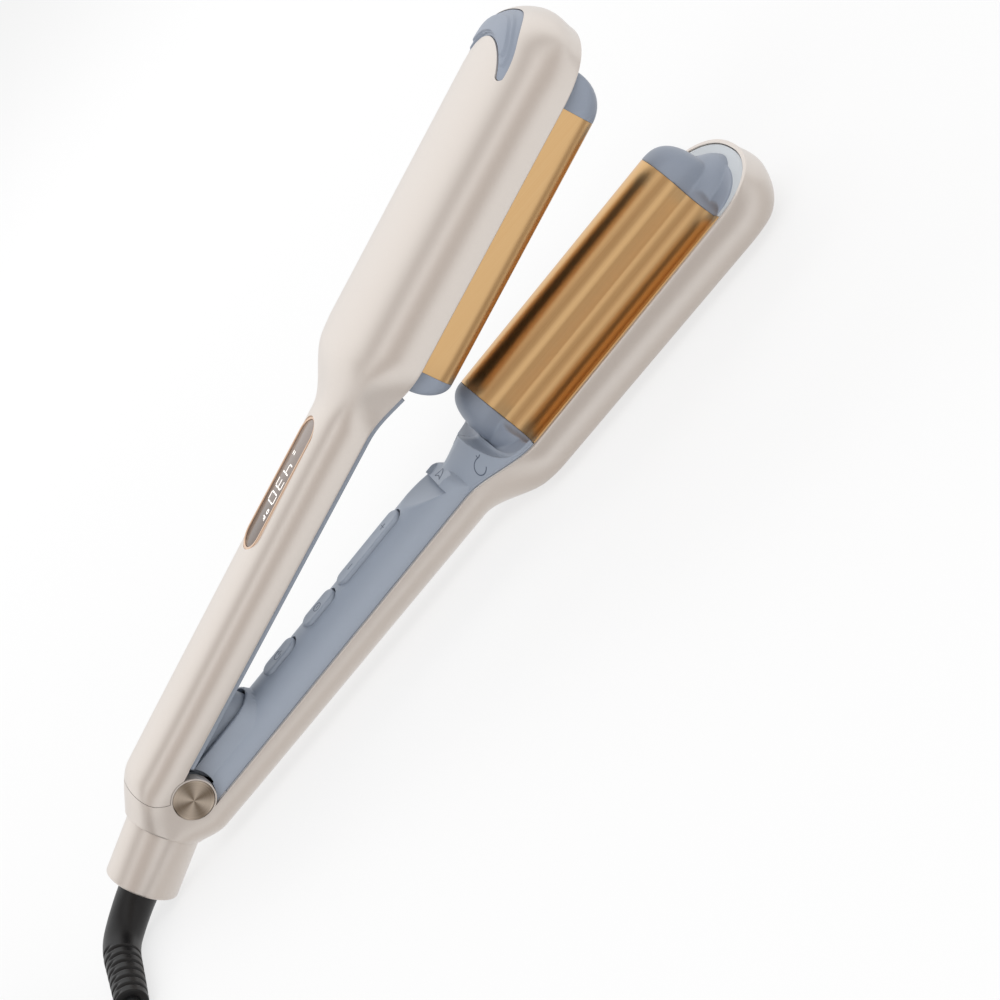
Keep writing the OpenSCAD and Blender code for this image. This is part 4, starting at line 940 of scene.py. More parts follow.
# ---- Barrels and their caps ----
@dataclass
class Barrels:
    """Three gold barrels: one waved profile below and two round-nosed ones above, with grey end caps."""

    crest_r: float = 10.6
    crest_c: float = 10.6
    lobe_y: float = 20.1
    trough_r: float = 9.54
    trough_c: float = 6.8
    lip: float = 29.0
    lobe_r: float = 7.7
    lobe_c: float = 7.5
    wall: float = 1.5
    cap_voxel: float = 0.38
    foot_round: float = 0.9
    root_foot: float = 11.3

    def wave(self, t: float) -> Array:
        """Profile of the lower barrel in Y and Z, t inside its outer face, from the far lip to the near.

        It is the lip, a trough's arc, the crest's straight side and its half circle, then the mirror.
        """
        r = self.trough_r + t
        a = math.degrees(math.acos((self.lobe_y - self.crest_r + t) / r))
        b = math.degrees(math.asin((self.trough_c + t) / r))
        half = np.vstack([[(self.lip - t, -3.4), (self.lip - t, -t - 0.3), (self.lip - t - 0.3, -t)],
                          arc(self.lobe_y, self.trough_c, r, -b, -180 + a, 40),
                          arc(0, self.crest_c, self.crest_r - t, 0, 90, 32)])
        return np.vstack([half, (half * (-1, 1))[::-1][1:]])

    def lobe(self, t: float) -> Array:
        """Profile of an upper barrel: an inner wall, a half circle below and a lower outer wall."""
        r = self.lobe_r - t
        return np.vstack([[(-r, 11.8)], arc(0, -self.lobe_c, r, 180, 360, 48), [(r, 5.5)]])

    def sweep(self, outer: Array, inner: Array, rim: float, shift: float) -> Skin:
        """Carries a walled profile along the barrel, its outer edge eased by 0.2 mm at both ends."""
        near, drawn = np.array([0.0, 0.06, 0.2]), np.array([1.0, 0.3, 0.0]) * 0.13
        x = np.concatenate([BARREL_START + near, np.linspace(BARREL_START + 8, BARREL_END - 8, 5),
                            BARREL_END - near[::-1]])
        drawn = np.concatenate([drawn, np.zeros(5), drawn[::-1]])
        outs = mix(outer[None], inner[None], drawn[:, None, None])
        ring = np.concatenate([outs, np.repeat(inner[None, ::-1], len(x), 0)], 1)
        return sheet_of(stack(x[:, None], ring[..., 0] + shift, rim + ring[..., 1]), around=True, caps=True)

    def trough_top(self, y: Array) -> Array:
        """Height of the troughs' surface at a distance from the middle."""
        d = self.trough_r**2 - (np.abs(y) - self.lobe_y) ** 2
        return np.minimum(self.trough_c - np.sqrt(np.maximum(d, 0)), np.where(np.abs(y) > self.lobe_y, 0.0, 99.0))

    def foot_height(self, x: Array, y: Array, ball: tuple[float, float]) -> Array:
        """Top of a cap's foot: half an ellipsoid on a flat brim, which starts level with the troughs."""
        dome = 9 * np.sqrt(np.maximum(1 - (x / ball[0]) ** 2 - (y / ball[1]) ** 2, 0)) - 1.6
        start = np.where(np.abs(y) > self.crest_r, self.trough_top(y), 3.0)
        return np.minimum(np.maximum(dome, 0.35), start + 9 * ease(x / (0.45 * ball[0])))

    def crest_cap(self, name: str, dome: float, ball: tuple[float, float], floor: tuple[float, float],
                  x0: float, way: int) -> Obj:
        """End cap of the lower barrel.

        Two closed forms are fused on a fine voxel grid and smoothed, so that they blend: the crest's
        section drawn in along a superellipse, and a foot whose plan joins a superellipse and an ellipse.

        Args:
            name: the piece's name.
            dome: how far the crest's end reaches.
            ball: half axes of the foot's ellipsoid.
            floor: the plan's length and the power of its superellipse.
            x0: where the barrel ends.
            way: 1 towards the tip, -1 towards the hinge.

        Returns:
            The cap.
        """
        t = np.linspace(0, 1, 33)[:, None] ** 0.7
        q = np.maximum(1 - t**2.6, 0) ** (1 / 2.6)
        a = np.linspace(0, math.pi, 61)[None]
        arch = stack(dome * t + 0 * a, -self.crest_r * q * np.cos(a), self.crest_c * q + self.crest_r * q * np.sin(a))
        feet = [stack(dome * t, s * self.crest_r * q, -3.2 + 0 * q) for s in (1, -1)]
        skin = sheet_of(np.concatenate([arch, *feet], 1), around=True, caps=True)
        y, (long, n) = np.linspace(-26.9, 26.9, 121)[None], floor
        edge = np.maximum(long * (1 - (np.abs(y) / FOOT_HALF) ** n) ** (1 / n),
                          ball[0] * np.sqrt(np.maximum(1 - (y / ball[1]) ** 2, 0)))
        x = edge * np.sin(np.linspace(0, math.pi / 2, 31))[:, None]
        top = self.foot_height(x, y, ball) - edge_drop(edge - x, self.foot_round)
        skin += slab(stack(x, y, top), stack(x, y, -4.4 + 0 * top))
        skin.points = skin.points * (way, 1, 1) + (x0, 0, RIM_LOW)
        obj = new_object(name, skin, Where.LOWER)
        fuse = obj.modifiers.new("fuse", "REMESH")
        fuse.mode, fuse.voxel_size, fuse.use_smooth_shade = "VOXEL", self.cap_voxel / 1000, True
        soft = obj.modifiers.new("soften", "SMOOTH")
        soft.factor, soft.iterations = 0.5, 7
        apply_modifiers(obj)
        return obj

    def lobe_cap(self, name: str, length: float, x0: float, way: int, side: int) -> Obj:
        """End cap of an upper barrel: its section drawn in by a quarter superellipse towards the end."""
        t = np.sin(np.linspace(0, math.pi / 2, 25))[:, None] ** 0.9
        q, s = np.maximum(1 - t**2.1, 0) ** (1 / 2.1), np.maximum(1 - t**5, 0) ** 0.2
        a = np.radians(np.linspace(180, 360, 49))[None]
        y, z = self.lobe_r * np.cos(a) * s, -self.lobe_c * q + self.lobe_r * np.sin(a) * q
        y = np.concatenate([-self.lobe_r * s, y, self.lobe_r * s], 1)
        z = np.concatenate([1.5 + 0 * q, z, 1.5 + 0 * q], 1)
        p = stack(x0 + way * length * t, side * (self.lobe_y + y), RIM_UP + z)
        return new_object(name, sheet_of(p, around=True, caps=True), Where.UPPER)

    def build(self) -> None:
        """Makes and dresses the barrels and their caps."""
        skin = self.sweep(self.wave(0), self.wave(self.wall), RIM_LOW, 0)
        made = new_object("barrel_lower_gold", skin, Where.LOWER)
        finish_piece(made, GOLD, Body.LOWER, ["lower_barrel"])
        skin = self.sweep(self.lobe(0), self.lobe(self.wall), RIM_UP, self.lobe_y)
        for side, name in ((1, "far"), (-1, "near")):
            made = new_object(f"barrel_{name}_gold", skin if side > 0 else skin.mirrored(), Where.UPPER)
            finish_piece(made, GOLD, Body.UPPER, [f"barrel_{name}"])
            for part, length, x0, way in (("tip", 12.5, BARREL_END, 1), ("root", 8.0, BARREL_START, -1)):
                made = self.lobe_cap(f"cap_{part}_{name}", length, x0, way, side)
                finish_piece(made, CAP_GREY, Body.UPPER, [f"{part}_cap_{name}"])
        for name, dome, ball, floor, x0, way in (("tip", 13, (19.5, 17), (17.5, 2.2), BARREL_END, 1),
                                                 ("root", 10.4, (11.4, 19), (self.root_foot, 3.0), BARREL_START, -1)):
            made = self.crest_cap(f"cap_{name}_lower", dome, ball, floor, x0, way)
            finish_piece(made, CAP_GREY, Body.LOWER, [f"lower_{name}_cap"], sharp=60)


# ---- Controls ----
def ribbon(path: Array, width: float, height: Callable[[Array, Array], Array], thick: float = 0.06) -> Skin:
    """A thin raised line: a path in X and Y widened by its normal and laid on a surface."""
    t = np.gradient(path, axis=0)
    n = stack(-t[:, 1], t[:, 0]) / np.hypot(t[:, 0], t[:, 1])[:, None] * width / 2
    p = np.stack([path - n, path + n])
    z = height(p[..., 0], p[..., 1])
    return slab(stack(p[..., 0], p[..., 1], z + thick), stack(p[..., 0], p[..., 1], z - 0.1))


def ribbons(paths: Sequence[Array], width: float, height: Callable[[Array, Array], Array],
            thick: float = 0.06) -> Skin:
    """Several raised lines of the same width as one skin."""
    skin = ribbon(paths[0], width, height, thick)
    for path in paths[1:]:
        skin += ribbon(path, width, height, thick)
    return skin


@dataclass
class Controls:
    """Two round-ended buttons and a long rocker, with plain marks."""

    width: float = 7.0
    proud: float = 0.9
    low: float = 5.9
    stem_r: float = 1.5
    stem_foot: float = -3.85
    cap_line: float = 0.32
    neck_line: float = 0.35
    covers: Covers = field(default_factory=Covers)

    @staticmethod
    def places() -> list[tuple[float, float]]:
        """Middle and length of the three caps."""
        return [(55.0, 16.0), (76.7, 16.0), (103.7, 32.6)]

    def cap(self, name: str, x: float, length: float) -> Obj:
        """A cap: slot outline with a rounded upper edge, slightly dished."""
        high = self.covers.high + self.proud
        levels = rounded(RIM_LOW + self.low, RIM_LOW + high, 0.2, 0.7, 6)
        levels += [(1.4, RIM_LOW + high - 0.04), (2.4, RIM_LOW + high - 0.09), (3.3, RIM_LOW + high - 0.11)]
        stem = arc(x, 0, self.stem_r, 0, 345, 24)
        skin = terraces(lambda i: slot_outline(x, length, self.width, i), levels)
        skin += column(stem, self.stem_foot, RIM_LOW + self.low + 0.3)
        return new_object(name, skin, Where.LOWER)

    def build(self) -> None:
        """Makes the caps, their marks and the marks on the neck."""
        (px, pl), (mx, ml), (rx, rl) = self.places()
        top = RIM_LOW + self.covers.high + self.proud - 0.12
        on_cap = lambda x, y: top + 0.02 * np.abs(y)
        rows = ((self.cap("button_power", px, pl), Body.POWER, "power_button"),
                (self.cap("button_mode", mx, ml), Body.MODE, "mode_button"),
                (self.cap("rocker_temperature", rx, rl), Body.ROCKER, "temperature_rocker"))
        for made, body, node in rows:
            finish_piece(made, BLUE_GREY, body, [node], sharp=50)
        marks = {
            Body.POWER: [(arc(px, 0, 1.7, 40, 320, 40)), np.array([(px + 0.4, 0), (px + 2.2, 0.0)])],
            Body.MODE: [arc(mx, 0, 1.7, 0, 359, 48), np.array([(mx - 0.6, 0), (mx + 0.9, 0.0)])],
            Body.ROCKER: [np.array([(rx - 10.2, 0), (rx - 7.6, 0.0)]), np.array([(rx + 7.6, 0), (rx + 10.2, 0.0)]),
                          np.array([(rx + 8.9, -1.3), (rx + 8.9, 1.3)])],
        }
        for body, paths in marks.items():
            skin = ribbons(paths, self.cap_line, on_cap)
            finish_piece(new_object(f"mark_{body.value}", skin, Where.LOWER), INK, body)
        ground = lambda x, y: RIM_LOW + self.covers.height(x, y)
        paths = [spline([(137.6, -2.4), (141.2, 0), (137.6, 2.4), (138.4, 0), (137.6, -2.4)], 6)]
        for s, x, y in ((-1, 150.5, -14.5), (1, 152.5, 8.0)):
            curve = arc(x, y, 2.6, 60 * s, 60 * s + 250 * s, 36)
            head = curve[-1] + np.array([(1.3, 0.1 * s), (0, 0), (0.2, -1.2 * s)])
            paths += [curve, spline(head, 3)]
        made = new_object("marks_neck", ribbons(paths, self.neck_line, ground), Where.LOWER)
        finish_piece(made, INK, Body.LOWER)


# ---- Display and thumb grip ----
@dataclass
class TopDetails:
    """What shows on the upper shell: the display in its frame and the crescent thumb grip."""

    x: float = 110.0
    length: float = 49.0
    width: float = 12.0
    top: float = RIM_UP + 14.9
    bite: tuple[float, float] = (257.0, 18.2)
    disc: tuple[float, float] = (267.0, 20.4)
    horn: tuple[float, float, float] = (266.0, 18.3, 2.3)

    def radii(self, n: int, grow: float = 0.0) -> tuple[Array, Array, Array]:
        """Angles and the grip's inner and outer radius about the bite's middle.

        The inner edge is the bite's circle, the outer edge the disc's, and each horn ends in a circle
        of its own. The angles crowd towards the horns' ends.
        """
        c, (hx, hy, hr) = self.disc[0] - self.bite[0], self.horn
        far, at = math.hypot(hx - self.bite[0], hy), math.atan2(hy, hx - self.bite[0])
        g = (at + math.asin((hr + grow) / far)) * np.sin(np.linspace(-1, 1, n) * math.pi / 2)
        d = np.maximum(np.abs(g) - at, 0)
        half = np.sqrt(np.maximum((hr + grow) ** 2 - (far * np.sin(d)) ** 2, 0))
        disc = c * np.cos(g) + np.sqrt((self.disc[1] + grow) ** 2 - (c * np.sin(g)) ** 2)
        bite = self.bite[1] - grow
        inner = np.where(d > 0, np.maximum(far * np.cos(d) - half, bite), bite)
        return g, inner, np.where(d > 0, np.minimum(far * np.cos(d) + half, disc), disc)

    def slots(self) -> list[Skin]:
        """What is cut out of the shell for them."""
        g, inner, outer = self.radii(81, 0.12)
        r, a = np.concatenate([outer, inner[-2:0:-1]]), np.concatenate([g, g[-2:0:-1]])
        outlines = ((slot_outline(self.x, self.length + 2.1, self.width + 2.1), 8.0),
                    (stack(self.bite[0] + r * np.cos(a), r * np.sin(a)), 15.5))
        return [column(o, RIM_UP + low, RIM_UP + 30) for o, low in outlines]

    def frame(self) -> Obj:
        """The frame: a slot-shaped ring with a rounded section."""
        q = np.radians(np.linspace(0, 180, 13))
        inset = np.concatenate([[0.0], 0.55 - 0.55 * np.cos(q), [1.1]]) - 1.1
        z = self.top + np.concatenate([[-2.4], -0.55 + 0.32 * np.sin(q), [-2.4]])
        rows = np.stack([slot_outline(self.x, self.length, self.width, i, 40) for i in inset], 1)
        skin = sheet_of(stack(rows[..., 0], rows[..., 1], z[None]), around=True, loop=True)
        return new_object("display_frame", skin, Where.UPPER)

    def window(self) -> Obj:
        """The window: a pad that fills the frame, its top 0.7 mm down."""
        levels = rounded(self.top - 2.6, self.top - 0.72, 0.1, 0.15, 3)
        return new_object("display_window_smoked", terraces(
            lambda i: slot_outline(self.x, self.length - 0.1, self.width - 0.1, i, 40), levels), Where.UPPER)

    def digits(self) -> Obj:
        """A three-figure reading and two small marks, as seven-segment bars."""
        shapes = {"4": "bcfg", "3": "abcdg", "0": "abcdef"}
        h, w, g = 6.2, 3.4, 0.28
        bars = {"a": ((g, h), (w - g, h)), "b": ((w, h - g), (w, h / 2 + g)), "c": ((w, h / 2 - g), (w, g)),
                "d": ((g, 0), (w - g, 0)), "e": ((0, g), (0, h / 2 - g)), "f": ((0, h / 2 + g), (0, h - g)),
                "g": ((g, h / 2), (w - g, h / 2))}
        lines = [np.array(bars[s]) + (k * 5.6, 0) for k, digit in enumerate("430") for s in shapes[digit]]
        lines += [arc(17.6, 5.4, 0.75, 0, 360, 20)]
        strokes = (((-4.6, 0.4), (-3.2, 0.4)), ((-4.6, 2.0), (-3.2, 2.0)), ((19.6, 5.9), (19.6, 3.7)),
                   ((19.6, 5.9), (21.0, 5.9)), ((19.6, 4.9), (20.7, 4.9)))
        lines += [np.array(stroke) for stroke in strokes]
        flat = lambda x, y: self.top - 0.7 + 0 * x
        # the figures are read from the tip's end
        place = lambda p: np.array([self.x + 7.4, h / 2 - 0.1]) - p
        skin = ribbons([place(line) for line in lines], 0.5, flat, 0.02)
        return new_object("display_figures", skin, Where.UPPER)

    def roof_height(self, x: Array, y: Array) -> Array:
        """Height of the upper shell above its rim: the section solved for Z, the nose's lean undone in steps."""
        f, z, s = UPPER_FORM, np.full(np.broadcast(x, y).shape, 20.0), x
        for _ in range(6):
            s = x - f.nose_lean * f.share(s, f.nose_len) ** 2 * ease(z / 10)
            w = f.half_width(s) * f.round_off(s, f.nose_len)
            z = f.depth(s) * f.round_off(s, f.nose_depth_len) * np.maximum(
                1 - (np.abs(y) / w) ** f.section_n, 0) ** (1 / f.section_n)
        return z

    def grip(self) -> Obj:
        """The thumb grip: three nested terraces that follow the shell.

        The terraces are steps of a soft smallest distance to the bite, to the outer circle and to the
        horns' ends. Heights are counted from the shell's surface, and the lowest lies just below it.
        """
        g, inner, outer = (v[:, None] for v in self.radii(161))
        r = mix(inner, outer, (1 - np.cos(np.linspace(0, math.pi, 61)))[None] / 2)
        x, y = self.bite[0] + r * np.cos(g), r * np.sin(g)
        rims = np.stack([2.2 * (r - self.bite[1]), self.disc[1] - np.hypot(x - self.disc[0], y), 0.5 * (x - 263.7)])
        depth = -np.log(np.exp(-2 * rims).sum(0)) / 2
        rise = 0.7 * ease((depth - 2.0) / 0.5) + 0.7 * ease((depth - 3.4) / 0.5) - 0.3
        rise -= 0.3 * (1 - ease(np.minimum(r - inner, outer - r) / 0.4))
        shell = self.roof_height(x, y)
        return new_object("thumb_grip_stepped", slab(stack(x, y, RIM_UP + shell + rise),
                          stack(x, y, RIM_UP + np.minimum(shell - 1.5, 16))), Where.UPPER)

    def build(self) -> None:
        """Makes and dresses the display and the grip."""
        ends = to_row(np.array([[self.x - 24, 0, 21], [self.x + 24, 0, 21.0]]), Where.UPPER)[:, 0]
        # tinted acrylic, warm brown grey, with painted shade that lightens towards the tip
        smoked_with_painted_shade = SmokedPaintedShade("acrylic_smoked_brown", "8f837c", "6f635c", roughness=0.2, uneven=0.04,
                        grain=(4, 4, 4), span=(float(ends[0]), float(ends[1])))
        finish_piece(self.frame(), ROSE, Body.UPPER, ["display_trim"])
        finish_piece(self.window(), smoked_with_painted_shade, Body.UPPER, ["display_window"])
        finish_piece(self.digits(), DIGITS, Body.UPPER)
        finish_piece(self.grip(), CAP_GREY, Body.UPPER, ["thumb_grip"], sharp=50)


# ---- Hinge ----
@dataclass
class Hinge:
    """Pivot caps on both sides and the tongue of the upper arm."""

    cap_r: float = 7.3
    tongue_half: float = 7.1
    knuckle_r: float = 6.6
    knuckle_half: float = 6.4
    pin_r: float = 2.55
    cap_thick: float = 1.5
    cap_groove: float = 0.12

    def caps(self) -> Obj:
        """Two turned discs with a chamfered edge; each profile is turned about the hinge axis."""
        face = float(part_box("pivot_caps")[1][1]) * 1000
        r, low, foot = self.cap_r, face - self.cap_groove, face - self.cap_thick
        profile = np.array([(0.02, low), (r - 0.75, low), (r - 0.6, face), (r - 0.3, face),
                            (r, face - 0.35), (r, foot), (0.02, foot)])
        skin = turned_profile(profile, lambda a, b, d: stack(a, d, b), 120)
        return new_object("pivot_caps_turned", skin + skin.mirrored(), Where.LOWER)

    def tongue(self) -> Obj:
        """Knuckle round the pin and the tongue that fills the collar, its lower edge rounded."""
        high = RIM_UP + 1.5
        outline = lambda i: np.vstack([arc(30, 0, self.tongue_half - i, -90, 90, 40),
                                       [(7.0, self.tongue_half - i), (7.0, -self.tongue_half + i)]])
        r, w, cut = self.knuckle_r, self.knuckle_half, 0.4
        skin = terraces(outline, rounded(-w, high, 1.2, 0.05, 6))
        profile = np.array([(self.pin_r, -w), (r - cut, -w), (r, cut - w), (r, w - cut), (r - cut, w), (self.pin_r, w)])
        skin += turned_profile(profile, lambda a, b, d: stack(a, d, b), 72)
        skin += slab(*(np.array([[(x, -w, z), (x, w, z)] for x in (3.5, 41)]) for z in (RIM_UP + 3, RIM_UP - 0.4)))
        return new_object("tongue_upper", skin, Where.UPPER)

    def build(self) -> None:
        """Makes and dresses the hinge's visible parts."""
        centre = tuple(to_row(np.zeros((1, 3)), Where.LOWER)[0])
        # turned aluminium anodised champagne; its bright and dark sectors are painted highlight and painted shade,
        # fixed on the disc
        disc = TurnedDiscPaintedRays("aluminium_turned_champagne", "efe2d2", "80705f", metallic=1.0, roughness=0.28,
                          centre=centre)
        finish_piece(self.caps(), disc, Body.LOWER, ["pivot_caps"])
        finish_piece(self.tongue(), BLUE_GREY, Body.UPPER, ["hinge_knuckle"])


# ---- Cord outlet, cord and plug ----
@dataclass
class Cord:
    """Sleeve, ribbed strain relief, the free cord with its stored coil, the strap and the plug.

    The route repeats the CAD's: a spline from the mouth of the sleeve, nine turns that climb and
    run in and out, and a tail that lays the plug on the coil.
    """

    diameter: float = 7.0
    length: float = 2.496
    turns: int = 9
    layer_turns: float = 2.25
    pitch: float = 7.5
    mid_r: float = 41.0
    lift: float = 0.8
    relief_r: tuple[float, float] = (7.3, 5.9)
    smooth_share: float = 0.5
    slot_count: int = 13
    strap_high: float = 31.3
    strap_angle: float = math.radians(-25)
    plug_half: tuple[float, float] = (11.9, 6.9)
    relief: tuple = ((0, 0, 0), (-3.8, 0, -1.4), (-9.2, -0.9, -3.1), (-15, -4, -4.5), (-19.6, -9, -5.2),
                     (-22, -15.5, -5.6), (-23.2, -24, -5.9), (-24.4, -34, -6.1), (-25.7, -44, -6.3))
    run: tuple = ((-25.7, -44, -6.3), (-27.4, -53.9, -6.9), (-32, -62.4, -7.6), (-39.6, -69, -8.1),
                  (-49.4, -72.4, -8.4), (-60, -73, -8.45), (-75, -73, -8.45), (-90, -73, -8.45),
                  (-105, -73, -8.45), (-121.5, -73, -8.45))
    tail: tuple = ((0, 0, 0), (-12, 1.6, 0.8), (-25, 7.6, 2.6), (-33.5, 18.5, 4.6), (-37.6, 31, 6.4),
                   (-38.4, 42, 7.1))

    def mouth(self) -> Array:
        """Point on the sleeve's axis, 1 mm inside its end, in the standing frame."""
        far = SLEEVE_END - 1
        p = np.array([[-far * math.cos(OUTLET_ANGLE), 0, SLEEVE_RISE - far * math.sin(OUTLET_ANGLE)]])
        return to_row(p, Where.LOWER)[0] * 1000

    def coil_centre(self) -> Array:
        """Middle of the coil on the table."""
        x, y, _ = self.run[-1]
        return np.array([self.mouth()[0] + x, y + self.outer_r(), 0.0])

    def outer_r(self) -> float:
        """Radius of the coil's outermost turn."""
        return self.mid_r + self.layer_turns * self.pitch / 2

    def coil(self, t: Array) -> Array:
        """Coil at t turns: the radius runs in and out layer by layer, and each layer ends in a smooth climb."""
        u = t / self.layer_turns
        k = np.floor(u)
        share = np.where(k % 2 == 0, u - k, 1 - (u - k))
        n = np.floor(u + 0.5)
        climb = ease((u - n) * self.layer_turns / 0.5 + 0.5) + n - 1
        r, a = self.outer_r() - self.layer_turns * self.pitch * share, -math.pi / 2 - 2 * math.pi * t
        z = self.lift + self.diameter / 2 + self.pitch * np.maximum(climb, 0)
        return self.coil_centre() + stack(r * np.cos(a), r * np.sin(a), z)

    def path(self) -> Array:
        """The free cord from the strain relief to the plug."""
        end = self.coil(np.array(float(self.turns)))
        turns = self.coil(np.arange(self.turns * 48) / 48)
        return np.vstack([(spline(self.run, 4) + self.mouth())[:-1], turns, spline(self.tail, 5) + end])

    def curve(self) -> Obj:
        """The cord as one open curve with a round section."""
        p = self.path() / 1000
        data = bpy.data.curves.new("cord_free", "CURVE")
        data.dimensions, data.bevel_depth = "3D", self.diameter / 2000
        data.bevel_resolution, data.use_fill_caps = 6, True
        line = data.splines.new("POLY")
        line.points.add(len(p) - 1)
        line.points.foreach_set("co", np.hstack([p, np.ones((len(p), 1))]).ravel())
        line.use_smooth = True
        return linked("cord_free", data)

    def relief_tube(self) -> Obj:
        """Strain relief: a tapered tube whose last half is slotted by turns from each side."""
        p = spline(self.relief, 60) + self.mouth()
        run = np.concatenate([[0], np.cumsum(np.linalg.norm(np.diff(p, axis=0), axis=1))])
        f = (run / run[-1])[:, None]
        a = np.linspace(0, 2 * math.pi, 48, endpoint=False)[None]
        g = (f - self.smooth_share) / (0.99 - self.smooth_share) * self.slot_count
        slot = np.exp(-(((g % 1) - 0.5) / 0.24) ** 2) * (g > 0) * (g < self.slot_count)
        side = np.where(np.floor(g) % 2 == 0, 1, -1)
        r = mix(*self.relief_r, f) - slot * ease((side * np.cos(a) + 0.25) / 0.5)
        r[-6:] -= np.linspace(0, 0.8, 6)[:, None] ** 2
        return new_object("strain_relief_ribbed", tube(p, r, 48), Where.STAND)

    def sleeve(self) -> Obj:
        """Sleeve: a walled profile with rounded mouth turned about the outlet's axis."""
        r = SLEEVE_R
        q = np.radians(np.linspace(0, 90, 7))
        mouth = stack(r - 0.9 + 0.9 * np.cos(q), SLEEVE_END - 0.9 + 0.9 * np.sin(q))
        inner = stack(9.4 - 0.4 * np.sin(q), SLEEVE_END - 0.4 + 0.4 * np.cos(q))
        step = SLEEVE_END - 2.5
        profile = np.vstack([[(r, 8)], mouth, inner, [(9.0, step), (r - 1.5, step), (r - 1.5, 8)]])
        c, s = math.cos(OUTLET_ANGLE), math.sin(OUTLET_ANGLE)
        place = lambda a, b, d: stack(-d * c - a * s, b, SLEEVE_RISE - d * s + a * c)
        return new_object("cord_sleeve_painted", turned_profile(profile, place, 128), Where.LOWER)

    def strap(self) -> Obj:
        """Strap round the bundle: a rounded rectangle as the loop and a thin band as the section."""
        half, high, r, t = self.layer_turns * self.pitch / 2 + 4.8, self.strap_high, 4.4, 0.75
        loop = np.vstack([arc(half - r, high - r, r, 0, 90, 9), arc(-half + r, high - r, r, 90, 180, 9),
                          arc(-half + r, r, r, 180, 270, 9), arc(half - r, r, r, 270, 360, 9)])
        loop = loop + (0, 0.05)
        n = np.roll(loop, -1, 0) - np.roll(loop, 1, 0)
        n = stack(n[:, 1], -n[:, 0]) / np.hypot(n[:, 0], n[:, 1])[:, None]
        inner = loop - t * n
        rows = np.stack([np.hstack([q, np.full((len(q), 1), w)]) for q, w in
                         ((loop, -5.8), (loop, 5.8), (inner, 6.0), (inner, -6.0))], 1)
        c, s = math.cos(self.strap_angle), math.sin(self.strap_angle)
        x, y = self.mid_r + rows[..., 0], rows[..., 2]
        p = stack(x * c - y * s, x * s + y * c, rows[..., 1]) + self.coil_centre()
        return new_object("coil_strap", sheet_of(p, around=True, loop=True), Where.STAND)

    def plug(self) -> Obj:
        """Plug: superellipse sections along the cord's end, a ribbed neck that swells into a flat body."""
        end = self.path()[-1]
        t = np.concatenate([np.linspace(0, 16, 49), np.linspace(16.4, 27, 18), np.linspace(28, 49, 10),
                            [49.5, 49.85, 49.99]])
        neck = mix(4.4, 5.6, t / 16) - 0.5 * (t < 14) * np.clip(np.sin(t * math.pi / 2 * 1.15), 0, 1) ** 2
        swell = ease((t - 15) / 10)
        shut = 1 - 0.09 * np.clip((t - 49) / 1, 0, 1) ** 3
        b, h = (mix(neck, half, swell) * shut for half in self.plug_half)
        a = np.linspace(0, 2 * math.pi, 64, endpoint=False)[None]
        e = (2 / mix(2.0, 3.4, swell))[:, None]
        c = stack(-b[:, None] * spow(np.cos(a), e), t[:, None], h[:, None] * spow(np.sin(a), e))
        return new_object("plug_moulded", sheet_of(c + end, around=True, caps=True), Where.STAND)

    def build(self) -> None:
        """Makes the cord first, then what goes with it."""
        curve = finish_piece(self.curve(), PVC, Body.CORD, ["cord_run", "cord_coil"])
        finish_piece(self.relief_tube(), PVC, Body.CORD, ["strain_relief"])
        strap = finish_piece(self.strap(), STRAP, Body.CORD, ["cord_tie"])
        plug = finish_piece(self.plug(), PVC, Body.CORD, ["plug_body"])
        start = self.path()[0] / 1000
        finish_piece(self.sleeve(), CHAMPAGNE, Body.LOWER, ["cord_sleeve"])


# ---- Inner works: CAD nodes that keep their shape ----
def dress_inner_works() -> None:
    """Gives every CAD node that stays visible its real material."""
    table = {
        BLACK: ("lower_carrier", "upper_carrier", "swivel_socket", "swivel_rotor", "tact_switches", "display_module"),
        STEEL: ("hinge_bracket", "hinge_pin", "opening_spring", "lower_screws", "upper_screws", "plug_blades"),
        BRASS: ("contact_rings",),
        CERAMIC: ("lower_heater", "heater_near", "heater_far"),
        CHIPS: ("board_components",),
        BOARD: ("control_board", "display_board"),
    }
    for finish, names in table.items():
        for name in names:
            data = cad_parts[name].data
            data.materials.clear()
            data.materials.append(finish.material())
            LOG.info("node %s is %s", name, finish.name)


